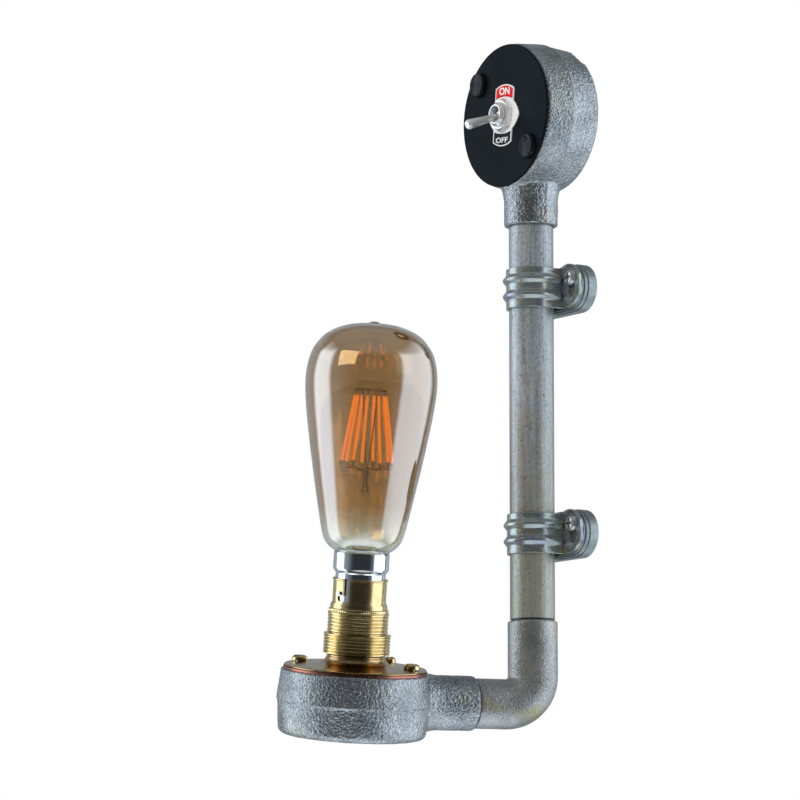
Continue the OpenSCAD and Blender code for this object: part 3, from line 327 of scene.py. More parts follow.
def strands(name: str, grids: list[np.ndarray]) -> Shape:
    """One piece of several wires, whose grids are in millimetres of the lamp's seat."""
    return surface(name, *(LAMP.place(grid) for grid in grids), wrap_v=True)


@dataclass(frozen=True)
class LatticeNoise:
    """Random heights at whole-number corners, blended between them with the curve 3 w^2 - 2 w^3."""

    seed: int
    period: int = 32

    def __call__(self, points: np.ndarray, size: float) -> np.ndarray:
        """The noise's height at each point.

        Args:
            points: points of shape (n, 3) in millimetres.
            size: how far the corners lie apart.

        Returns:
            Heights from -1 to 1.
        """
        heights = np.random.default_rng(self.seed).random((self.period,) * 3) * 2 - 1
        p = points / size
        low = np.floor(p).astype(int)
        w = p - low
        w = w * w * (3 - 2 * w)
        total = np.zeros(len(points))
        for corner in np.ndindex(2, 2, 2):
            at = (low + corner) % self.period
            share = np.prod(np.where(np.array(corner) == 1, w, 1 - w), axis=1)
            total += share * heights[at[:, 0], at[:, 1], at[:, 2]]
        return total


@dataclass(frozen=True)
class Recast:
    """Makes a soft-edged copy of a machined solid, as a casting has.

    The copy is rebuilt in small cubes, its points are drawn towards their neighbours' mean, and its skin is
    lifted along its normals by a mix of lattice noises, each given as its size and its height.
    """

    cube: float
    settle: int
    lumps: tuple[Pair, ...]
    seed: int
    shade_angle: float = 50.0

    def copy(self, node: str, keep: Measure, seam: Measure | None = None) -> Shape:
        """The recast copy of a node.

        Args:
            node: the solid's name.
            keep: from points in metres, the share of the lift that each one gets.
            seam: from points in metres, the height in millimetres that a cast seam adds to the lift.

        Returns:
            The copy.
        """
        name = f"{node}_cast"
        raw = shape_of(f"{name}_raw", frame["nodes"][node].data.copy(), merge=WELD)
        remesh = raw.modifiers.new("cubes", "REMESH")
        remesh.mode = "VOXEL"
        remesh.voxel_size = self.cube * MM
        mesh = baked(raw)
        mesh.name = name
        mesh.materials.clear()
        self.relax(mesh)
        normals, co = points_of(mesh, "normal"), points_of(mesh)
        lift = np.zeros(len(co))
        for i, (size, height) in enumerate(self.lumps):
            lift += height * LatticeNoise(self.seed + i)(co / MM, size)
        if seam:
            lift += seam(co)
        move_points(mesh, co + normals * (lift * keep(co))[:, None] * MM)
        return smooth(linked(name, mesh), self.shade_angle)

    def relax(self, mesh: Mesh) -> None:
        """Moves each point half way to the mean of its neighbours, as often as settle says.

        Args:
            mesh: the mesh, which is changed.
        """
        edges = np.empty(len(mesh.edges) * 2, np.int32)
        mesh.edges.foreach_get("vertices", edges)
        a, b = edges.reshape(-1, 2).T
        count = np.bincount(np.concatenate([a, b]), minlength=len(mesh.vertices))[:, None]
        co = points_of(mesh)
        for _ in range(self.settle):
            total = [np.bincount(a, co[b, k], len(co)) + np.bincount(b, co[a, k], len(co)) for k in range(3)]
            co = 0.5 * co + 0.5 * np.stack(total, axis=1) / np.maximum(count, 1)
        move_points(mesh, co)


def eased(shape: Shape, width: float, segments: int, angle: float = 40.0) -> None:
    """Rounds a machined solid's edges, with modifiers on its node.

    Args:
        shape: the node.
        width: the rounding's width in millimetres.
        segments: faces across the rounding.
        angle: edges sharper than this, in degrees, are rounded.
    """
    shape.modifiers.new("weld", "WELD").merge_threshold = WELD
    bevel = shape.modifiers.new("edges", "BEVEL")
    bevel.width = width * MM
    bevel.segments = segments
    bevel.limit_method = "ANGLE"
    bevel.angle_limit = math.radians(angle)
    bevel.harden_normals = False
    shape.modifiers.new("shade", "WEIGHTED_NORMAL").keep_sharp = True


# Materials


class Graph:
    """Shader nodes, made and joined in one place."""

    def __init__(self, tree: bpy.types.NodeTree) -> None:
        """Starts with the nodes that the tree has."""
        self.tree = tree

    def put(self, target: Socket, value: object) -> None:
        """Joins a socket to another one, or sets its number or colour.

        Args:
            target: the socket that is set.
            value: a socket, a number, a vector, or a colour of three numbers.
        """
        if isinstance(value, Socket):
            self.tree.links.new(value, target)
        elif isinstance(value, tuple) and len(value) == 3 and target.type == "RGBA":
            target.default_value = (*value, 1)
        else:
            target.default_value = value

    def add(self, kind: str, inputs: dict[str | int, object], **settings: object) -> bpy.types.Node:
        """A new node.

        Args:
            kind: the node's type.
            inputs: what goes into its sockets, by name or number.
            settings: its other settings, by name.

        Returns:
            The node.
        """
        node = self.tree.nodes.new(kind)
        for key, value in settings.items():
            setattr(node, key, value)
        for key, value in inputs.items():
            self.put(node.inputs[key], value)
        return node

    def range(self, value: Socket, low: float, high: float, to_low: float = 0, to_high: float = 1) -> Socket:
        """The value carried from one range to another, and held at its ends."""
        inputs = {"Value": value, 1: low, 2: high, 3: to_low, 4: to_high}
        return self.add("ShaderNodeMapRange", inputs).outputs[0]

    def math(self, how: str, a: object, b: object) -> Socket:
        """One step of arithmetic."""
        return self.add("ShaderNodeMath", {0: a, 1: b}, operation=how).outputs[0]

    def plus(self, a: object, b: object) -> Socket:
        """The sum of two numbers."""
        return self.math("ADD", a, b)

    def times(self, a: object, b: object) -> Socket:
        """The product of two numbers."""
        return self.math("MULTIPLY", a, b)

    def most(self, a: object, b: object) -> Socket:
        """The greater of two numbers."""
        return self.math("MAXIMUM", a, b)

    def mix(self, share: object, a: object, b: object) -> Socket:
        """Two colours mixed by a share."""
        return self.add("ShaderNodeMix", {0: share, 6: a, 7: b}, data_type="RGBA").outputs[2]

    def part(self, vector: Socket, axis: str) -> Socket:
        """One of a vector's three numbers."""
        return self.add("ShaderNodeSeparateXYZ", {0: vector}).outputs[axis]


class Paint(Graph):
    """The nodes of one material."""

    def __init__(self, name: str) -> None:
        """Starts a material with its shader and the piece's own coordinates.

        Args:
            name: the material's name.
        """
        self.material = bpy.data.materials.new(name)
        self.material.use_nodes = True
        super().__init__(self.material.node_tree)
        self.shader = self.tree.nodes["Principled BSDF"]
        self.objects = self.tree.nodes.new("ShaderNodeTexCoord").outputs["Object"]

    def seen_from(self, seat: Seat = WALL, stretch: Place = (1, 1, 1)) -> Socket:
        """Coordinates in millimetres of a seat.

        Args:
            seat: the seat.
            stretch: how far a pattern on them is drawn out along each axis.

        Returns:
            The coordinates.
        """
        turn = seat.turn.T
        inputs = {
            "Vector": self.objects,
            "Location": tuple(-turn @ np.array(seat.origin) / MM),
            "Rotation": tuple(Matrix(turn.tolist()).to_euler()),
            "Scale": (1 / MM,) * 3,
        }
        placed = self.add("ShaderNodeMapping", inputs).outputs[0]
        if stretch == (1, 1, 1):
            return placed
        return self.add("ShaderNodeMapping", {"Vector": placed, "Scale": tuple(1 / s for s in stretch)}).outputs[0]

    def noise(self, where: Socket, size: float, detail: float, rough: float, warp: float = 0) -> Socket:
        """Cloudy noise with lumps of that size."""
        inputs = {"Vector": where, "Scale": 1 / size, "Detail": detail, "Roughness": rough, "Distortion": warp}
        return self.add("ShaderNodeTexNoise", inputs).outputs["Fac"]

    def gloss(self, noise: Socket, rough: float, less: float, more: float) -> Socket:
        """Roughness that wanders with a noise, from less below to more above."""
        return self.range(noise, 0.3, 0.7, rough - less, rough + more)

    def cells(self, where: Socket, size: float) -> Socket:
        """Distance from the middles of random cells of that size, blended where they meet."""
        inputs = {"Vector": where, "Scale": 1 / size}
        return self.add("ShaderNodeTexVoronoi", inputs, feature="SMOOTH_F1").outputs["Distance"]

    def bump(self, height: Socket, depth: float, under: Socket | None = None) -> Socket:
        """A bump of that depth in millimetres, over another one."""
        inputs = {"Height": height, "Distance": depth * MM} | ({"Normal": under} if under else {})
        return self.add("ShaderNodeBump", inputs).outputs[0]

    def finish(self, **values: object) -> Material:
        """Sets the shader's sockets.

        Args:
            values: what goes into them, by name with _ for a space.

        Returns:
            The material.
        """
        for key, value in values.items():
            self.put(self.shader.inputs[key.replace("_", " ")], value)
        return self.material


class Finish(Protocol):
    """Whatever can make its own material."""

    def material(self) -> Material:
        """The finish's material, made anew."""


@dataclass(frozen=True)
class GalvanisedCasting:
    """Hot-dipped zinc on a sand casting: a leathery sparkling grain with small dark pits."""

    name: str = "galvanised_casting"
    pale: Colour = (0.51, 0.525, 0.53)
    deep: Colour = (0.205, 0.22, 0.222)
    pit: Colour = (0.05, 0.055, 0.06)
    gold: Colour = (0.38, 0.345, 0.20)
    grain: float = 1.15
    cloud: float = 11.0
    patch: float = 16.0
    pit_size: float = 0.8
    metal: float = 0.9
    depth: float = 0.36
    pit_depth: float = 0.15
    rough: float = 0.23
    warmth: float = 0.35

    def material(self) -> Material:
        """Two greys mixed by grain and cloud, gold in patches, pits where a noise is high, a bump of all but gold.

        Returns:
            The material.
        """
        g = Paint(self.name)
        at = g.seen_from()
        cloud = g.noise(at, self.cloud, 3, 0.6)
        grain = g.noise(at, self.grain, 3, 0.75, 0.4)
        leather = g.cells(at, self.grain * 0.95)
        body = g.mix(g.range(g.plus(g.times(cloud, 0.6), grain), 0.62, 1.0), self.deep, self.pale)
        gold = g.range(g.noise(at, self.patch, 2, 0.5, 0.5), 0.55, 0.7, 0, self.warmth)
        pits = g.range(g.noise(at, self.pit_size, 2, 0.6), 0.67, 0.74)
        colour = g.mix(g.times(pits, 0.9), g.mix(gold, body, self.gold), self.pit)
        rough = g.range(grain, 0.3, 0.75, self.rough + 0.08, self.rough - 0.04)
        normal = g.bump(pits, -self.pit_depth, g.bump(g.plus(g.times(leather, 0.9), grain), self.depth))
        return g.finish(Base_Color=colour, Metallic=self.metal, Roughness=rough, Normal=normal)


@dataclass(frozen=True)
class GalvanisedTube:
    """Zinc on drawn tube: spangle, faint streaks along the draw, a few specks, and a dark band of painted shade at
    the thread just above the elbow's mouth.
    """

    name: str = "galvanised_tube"
    pale: Colour = (0.46, 0.485, 0.51)
    deep: Colour = (0.20, 0.225, 0.235)
    # painted warm reflection: the gold tint that stands in for warm light on the lower pipe
    warm_reflection: Colour = (0.32, 0.30, 0.19)
    speck: Colour = (0.07, 0.08, 0.085)
    # painted shade: the colour of the dark band where the pipe enters the elbow
    elbow_mouth_shade: Colour = (0.05, 0.055, 0.06)
    streak: Place = (1, 1, 22)
    speck_stretch: Place = (1, 1, 2.2)
    rough: float = 0.32
    metal: float = 0.5
    thread: Pair = (-93.7, -92.6)

    def material(self) -> Material:
        """Spangle is fine noise; streaks are noise drawn out along the tube; a painted warm reflection, a gold tint
        standing in for warm light on the pipe, lies lower down.

        Returns:
            The material.
        """
        g = Paint(self.name)
        at = g.seen_from(PIPE)
        streak = g.noise(g.seen_from(PIPE, self.streak), 1.5, 3, 0.6)
        spangle = g.noise(at, 1.1, 3, 0.7, 0.3)
        cloud = g.noise(at, 9, 3, 0.6)
        share = g.range(g.plus(g.times(streak, 0.7), g.times(spangle, 0.7)), 0.5, 0.92)
        height = g.part(g.seen_from(), "Z")
        # painted warm reflection: the gold tint's share grows lower down the pipe, in place of warm light falling
        # there
        low = g.range(g.plus(height, g.range(cloud, 0.3, 0.7, -50, 50)), 20, -60, 0, 0.55)
        colour = g.mix(low, g.mix(share, self.deep, self.pale), self.warm_reflection)
        specks = g.range(g.noise(g.seen_from(PIPE, self.speck_stretch), 0.85, 2, 0.6), 0.62, 0.69)
        colour = g.mix(g.times(specks, 0.75), colour, self.speck)
        # painted shade: a dark band on the pipe between the two heights in thread, just above the elbow's mouth
        above, below = g.math("GREATER_THAN", height, self.thread[0]), g.math("LESS_THAN", height, self.thread[1])
        colour = g.mix(g.times(above, below), colour, self.elbow_mouth_shade)
        rough = g.gloss(cloud, self.rough, 0.05, 0.08)
        normal = g.bump(spangle, 0.1, g.bump(streak, 0.04))
        return g.finish(Base_Color=colour, Metallic=self.metal, Roughness=rough, Normal=normal)


@dataclass(frozen=True)
class PassivatedSheet:
    """Zinc plate with a grey-green cast, drifting to gold and to a bluish violet, and brushed one way."""

    name: str
    base: Colour = (0.38, 0.42, 0.40)
    gold: Colour = (0.50, 0.46, 0.24)
    violet: Colour = (0.30, 0.31, 0.42)
    rough: float = 0.22
    amount: float = 0.8
    line: Colour = (0.16, 0.18, 0.17)
    brush: Place = (14, 14, 1)
    aside: Place = (31.0, 17.0, 5.0)
    metal: float = 0.8

    def material(self) -> Material:
        """Gold and violet each lie where their own wide noise is high; brushing is noise drawn out sideways.

        Returns:
            The material.
        """
        g = Paint(self.name)
        at = g.seen_from()
        gold = g.range(g.noise(at, 5, 2, 0.55, 0.6), 0.56, 0.68, 0, self.amount)
        aside = g.add("ShaderNodeMapping", {"Vector": at, "Location": self.aside}).outputs[0]
        violet = g.range(g.noise(aside, 6.5, 2, 0.5, 0.4), 0.52, 0.66, 0, self.amount)
        colour = g.mix(violet, g.mix(gold, self.base, self.gold), self.violet)
        lines = g.noise(g.seen_from(WALL, self.brush), 0.55, 3, 0.65)
        colour = g.mix(g.range(lines, 0.4, 0.7, 0, 0.35), colour, self.line)
        rough = g.gloss(g.noise(at, 2.4, 4, 0.6), self.rough, 0.06, 0.12)
        normal = g.bump(lines, 0.02, g.bump(g.noise(at, 3.0, 3, 0.6), 0.08))
        return g.finish(Base_Color=colour, Metallic=self.metal, Roughness=rough, Normal=normal)


@dataclass(frozen=True)
class TurnedMetal:
    """Lathe-turned brass, copper or bronze: fine rings round the lamp's axis and soft tarnish."""

    name: str
    bright: Colour
    tarnish: Colour
    rough: float = 0.2
    ring: float = 0.16
    ring_depth: float = 0.008
    ring_stretch: Place = (60, 60, 1)
    patch: float = 4.0
    amount: float = 0.5

    def material(self) -> Material:
        """Rings are noise drawn out across the axis; tarnish is wide noise between the two colours.

        Returns:
            The material.
        """
        g = Paint(self.name)
        at = g.seen_from(LAMP)
        rings = g.noise(g.seen_from(LAMP, self.ring_stretch), self.ring, 2, 0.6)
        patch = g.range(g.noise(at, self.patch, 4, 0.62, 0.4), 0.35, 0.72, 0, self.amount)
        spots = g.range(g.noise(at, 0.8, 2, 0.5), 0.66, 0.74, 0, 0.35)
        colour = g.mix(g.most(patch, spots), self.bright, self.tarnish)
        rough = g.gloss(g.noise(at, 1.8, 3, 0.6), self.rough, 0.05, 0.1)
        normal = g.bump(rings, self.ring_depth, g.bump(g.noise(at, 2.5, 2, 0.5), 0.03))
        return g.finish(Base_Color=colour, Metallic=1.0, Roughness=rough, Normal=normal)


@dataclass(frozen=True)
class BrightPlate:
    """Chrome or nickel plate, with faint handling marks in its gloss."""

    name: str
    base: Colour = (0.88, 0.89, 0.90)
    rough: float = 0.06
    metal: float = 1.0
    smudge: float = 3.5
    hairline: Place = (14, 1, 1)

    def material(self) -> Material:
        """Smudges are wide noise in the roughness, and hairlines a weak stretched bump.

        Returns:
            The material.
        """
        g = Paint(self.name)
        smudge = g.noise(g.seen_from(), self.smudge, 4, 0.6, 0.8)
        rough = g.range(smudge, 0.35, 0.75, self.rough, self.rough + 0.08)
        colour = g.mix(g.range(smudge, 0.3, 0.8), self.base, tuple(0.93 * c for c in self.base))
        normal = g.bump(g.noise(g.seen_from(WALL, self.hairline), 0.3, 2, 0.5), 0.004)
        return g.finish(Base_Color=colour, Metallic=self.metal, Roughness=rough, Normal=normal)


@dataclass(frozen=True)
class SatinPaint:
    """Powder coat or moulded plastic: an orange-peel skin, a little dust in the colour."""

    name: str
    base: Colour
    dust: Colour
    rough: float = 0.4
    peel: float = 0.7
    peel_depth: float = 0.02
    shine: float = 0.5

    def material(self) -> Material:
        """The peel is fine noise; the dust is a cloud thinned by a second, finer noise.

        Returns:
            The material.
        """
        g = Paint(self.name)
        at = g.seen_from()
        cloud = g.times(g.noise(at, 12, 3, 0.6), g.noise(at, 0.9, 3, 0.7))
        colour = g.mix(g.range(cloud, 0.18, 0.42), self.base, self.dust)
        rough = g.gloss(g.noise(at, 2.0, 3, 0.6), self.rough, 0.05, 0.08)
        normal = g.bump(g.noise(at, self.peel, 2, 0.5), self.peel_depth)
        return g.finish(Base_Color=colour, Roughness=rough, Normal=normal, Specular_IOR_Level=self.shine)


@dataclass(frozen=True)
class LampGlass:
    """Blown glass with an amber coating that thins out towards the cap, under a mirror lustre."""

    name: str
    amber: Colour
    clear: Colour
    fade_low: float = 0.0
    fade_high: float = 1.0
    ior: float = 1.5
    lustre: float = 0.0
    lustre_ior: float = 2.7

    def material(self) -> Material:
        """The tint runs from clear to amber between two heights along the lamp's axis, 3 mm up or down by noise.

        Returns:
            The material.
        """
        g = Paint(self.name)
        at = g.seen_from(LAMP)
        height = g.plus(g.part(at, "Z"), g.range(g.noise(at, 9, 2, 0.5), 0.3, 0.7, -3, 3))
        return g.finish(
            Base_Color=g.mix(g.range(height, self.fade_low, self.fade_high), self.clear, self.amber),
            Roughness=0.0,
            IOR=self.ior,
            Transmission_Weight=1.0,
            Coat_Weight=self.lustre,
            Coat_IOR=self.lustre_ior,
            Coat_Roughness=0.0,
            Normal=g.bump(g.noise(at, 14, 1, 0.5), 0.12),
        )


@dataclass(frozen=True)
class FilamentCoat:
    """Phosphor-loaded silicone over a filament stick: bright orange, slightly grainy."""

    name: str = "filament"
    base: Colour = (1.0, 0.27, 0.0)
    pale: Colour = (1.0, 0.34, 0.004)
    rough: float = 0.45
    glow: float = 1.6

    def material(self) -> Material:
        """Fine grain in colour and bump; the phosphor's own light is a weak emission.

        Returns:
            The material.
        """
        g = Paint(self.name)
        grain = g.noise(g.seen_from(LAMP), 0.35, 3, 0.6)
        colour = g.mix(g.range(grain, 0.3, 0.7), self.base, self.pale)
        glow = {"Emission_Color": colour, "Emission_Strength": self.glow}
        return g.finish(Base_Color=colour, Roughness=self.rough, Normal=g.bump(grain, 0.03), **glow)


def made_from(finish: Finish) -> Material:
    """A field that holds a finish's material, made when the set of finishes is."""
    return field(default_factory=finish.material)


@dataclass(frozen=True)
class Finishes:
    """Every finish of the light, made once."""

    casting: Material = made_from(GalvanisedCasting())
    tube: Material = made_from(GalvanisedTube())
    fitting: Material = made_from(
        GalvanisedCasting(
            "galvanised_fitting", (0.45, 0.44, 0.425), (0.215, 0.225, 0.22),
            grain=0.75, metal=0.72, depth=0.15, rough=0.27, warmth=0.9,
        )
    )
    sheet: Material = made_from(PassivatedSheet("passivated_sheet"))
    screw: Material = made_from(PassivatedSheet("screw_zinc", (0.6, 0.63, 0.63), rough=0.18, amount=0.3))
    spacer: Material = made_from(
        PassivatedSheet("spacer_zinc", (0.30, 0.34, 0.34), (0.32, 0.32, 0.24), (0.26, 0.29, 0.33), 0.34, 0.4)
    )
    steel: Material = made_from(BrightPlate("bright_steel", (0.78, 0.78, 0.78), 0.14))
    chrome: Material = made_from(BrightPlate("chrome"))
    nickel: Material = made_from(BrightPlate("nickel", (0.70, 0.70, 0.69), 0.15, 0.6))
    cover: Material = made_from(
        SatinPaint("cover_paint", (0.0035, 0.006, 0.008), (0.006, 0.009, 0.011), 0.42, shine=0.03)
    )
    cap: Material = made_from(
        SatinPaint("cap_plastic", (0.003, 0.004, 0.005), (0.006, 0.007, 0.007), 0.14, shine=0.12)
    )
    brass: Material = made_from(TurnedMetal("turned_brass", (0.84, 0.66, 0.33), (0.52, 0.35, 0.12), rough=0.17))
    bronze: Material = made_from(
        TurnedMetal("spun_brass", (0.56, 0.37, 0.17), (0.36, 0.21, 0.09), rough=0.18, ring=0.5, ring_depth=0.01)
    )
    copper: Material = made_from(TurnedMetal("copper", (0.46, 0.18, 0.13), (0.28, 0.10, 0.07), rough=0.3))
    label_white: Material = made_from(
        SatinPaint("label_white", (0.64, 0.64, 0.63), (0.55, 0.55, 0.54), 0.35, 0.4, 0.005)
    )
    label_red: Material = made_from(
        SatinPaint("label_red", (0.62, 0.003, 0.005), (0.5, 0.004, 0.005), 0.4, 0.4, 0.005, 0.12)
    )
    label_black: Material = made_from(
        SatinPaint("label_black", (0.003, 0.003, 0.003), (0.006, 0.006, 0.006), 0.4, 0.4, 0.005, 0.08)
    )
    phenolic: Material = made_from(SatinPaint("phenolic", (0.16, 0.05, 0.022), (0.1, 0.035, 0.018), 0.38))
    nylon: Material = made_from(SatinPaint("nylon", (0.72, 0.70, 0.64), (0.6, 0.58, 0.52), 0.45))
    connector: Material = made_from(SatinPaint("connector_plastic", (0.66, 0.66, 0.62), (0.5, 0.5, 0.46), 0.5))
    rubber: Material = made_from(
        SatinPaint("rubber", (0.018, 0.018, 0.018), (0.05, 0.05, 0.048), 0.75, 0.5, 0.05, 0.3)
    )
    ceramic: Material = made_from(SatinPaint("ceramic", (0.78, 0.76, 0.70), (0.6, 0.57, 0.5), 0.3, 1.2, 0.03))
    brown_pvc: Material = made_from(SatinPaint("brown_pvc", (0.16, 0.06, 0.025), (0.12, 0.05, 0.022)))
    blue_pvc: Material = made_from(SatinPaint("blue_pvc", (0.02, 0.08, 0.42), (0.02, 0.06, 0.3)))
    green_pvc: Material = made_from(SatinPaint("green_pvc", (0.12, 0.34, 0.03), (0.3, 0.34, 0.03)))
    insulator: Material = made_from(
        SatinPaint("cap_black_glass", (0.01, 0.008, 0.012), (0.02, 0.016, 0.02), 0.12, 1.0, 0.02)
    )
    amber: Material = made_from(
        LampGlass("amber_glass", (0.54, 0.365, 0.17), (0.82, 0.86, 0.77), 65.0, 86.0, ior=1.45, lustre=1.0)
    )
    glass: Material = made_from(LampGlass("clear_glass", (0.97, 0.985, 0.975), (0.97, 0.985, 0.975)))
    filament: Material = made_from(FilamentCoat())
    lead: Material = made_from(BrightPlate("lead_wire", (0.20, 0.15, 0.11), 0.3))


def dress(
    shape: Shape, material: Material, body: str | None = None, instead: str | None = None
) -> Shape:
    """Gives a piece its material and reports it.

    Args:
        shape: the piece.
        material: its material.
        body: the body that a new piece rides on.
        instead: the solid whose place a new piece takes.

    Returns:
        The piece.
    """
    shape.data.materials.clear()
    shape.data.materials.append(material)
    if body:
        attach(shape, body)
    if instead:
        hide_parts(instead)
    log.info("%s: %s", shape.name, material.name)
    return shape


def dress_nodes(material: Material, *nodes: str, edge: float = 0.0, segments: int = 2) -> None:
    """Gives machined solids their material, and rounds their edges where a width is given.

    Args:
        material: the material.
        nodes: the solids' names.
        edge: the rounding's width in millimetres.
        segments: faces across the rounding.
    """
    for node in nodes:
        shape = frame["nodes"][node]
        if edge:
            eased(shape, edge, segments)
        dress(shape, material)


# Sub-assemblies


@dataclass(frozen=True)
class Castings:
    """The two round boxes, the elbow, and the two saddle bases."""

    finishes: Finishes
    inner_r: float = 30.6
    floor_z: float = -13.6
    rim_z: float = 12.6
    way_r: float = 10.6
    spout_x: float = 26.0
    seam_height: float = 0.35
    seam_half: float = 0.5
    seam_lump: float = 6.0
    seam_seed: int = 5
    mouth_z: float = 8.0
    tail_x: float = -25.0

    def box_skin(self, seat: Seat, points: np.ndarray) -> np.ndarray:
        """The share of the lift: 1 on the box's outer skin, 0 in its cavity, on its rim and in its spout.

        Args:
            seat: the box's seat.
            points: points in metres.

        Returns:
            The share at each point.
        """
        x, y, z = seat.local(points).T
        outside = (np.hypot(x, y) > self.inner_r) | (z < self.floor_z)
        spout = (np.hypot(y, z) < self.way_r) & (x > self.spout_x)
        return np.where(outside & ~spout & (z < self.rim_z), 1.0, 0.0)

    def box_seam(self, seat: Seat, points: np.ndarray) -> np.ndarray:
        """The ridge where the mould's halves met, height exp(-(z / half)^2), uneven along its length.

        Args:
            seat: the box's seat.
            points: points in metres.

        Returns:
            The ridge's height in millimetres at each point.
        """
        local = seat.local(points)
        uneven = 0.6 + 0.4 * LatticeNoise(self.seam_seed)(local, self.seam_lump)
        return self.seam_height * uneven * np.exp(-((local[:, 2] / self.seam_half) ** 2))

    def elbow_skin(self, points: np.ndarray) -> np.ndarray:
        """The share of the lift: 0 in the elbow's mouth and on its male thread, 1 elsewhere."""
        x, y, z = ARM.local(points).T
        return np.where((z > self.mouth_z) & (np.hypot(x, y) < self.way_r) | (x < self.tail_x), 0.0, 1.0)

    def build(self) -> None:
        """Recasts each piece with lumps that suit its size, and dresses the saddle bases."""
        f = self.finishes
        boxes = Recast(cube=0.6, settle=2, lumps=((7.0, 0.07), (3.2, 0.06), (1.7, 0.06)), seed=11)
        for node, seat, body in (("switch_box", SWITCH, "wall_frame"), ("lamp_box", LAMP, "lamp")):
            box = boxes.copy(node, partial(self.box_skin, seat), partial(self.box_seam, seat))
            dress(box, f.casting, body, node)
        bends = Recast(cube=0.55, settle=3, lumps=((5.0, 0.04), (2.0, 0.025)), seed=21)
        dress(bends.copy("elbow", self.elbow_skin), f.fitting, "arm", "elbow")
        dress_nodes(f.spacer, "upper_saddle_base", "lower_saddle_base", edge=0.5, segments=3)


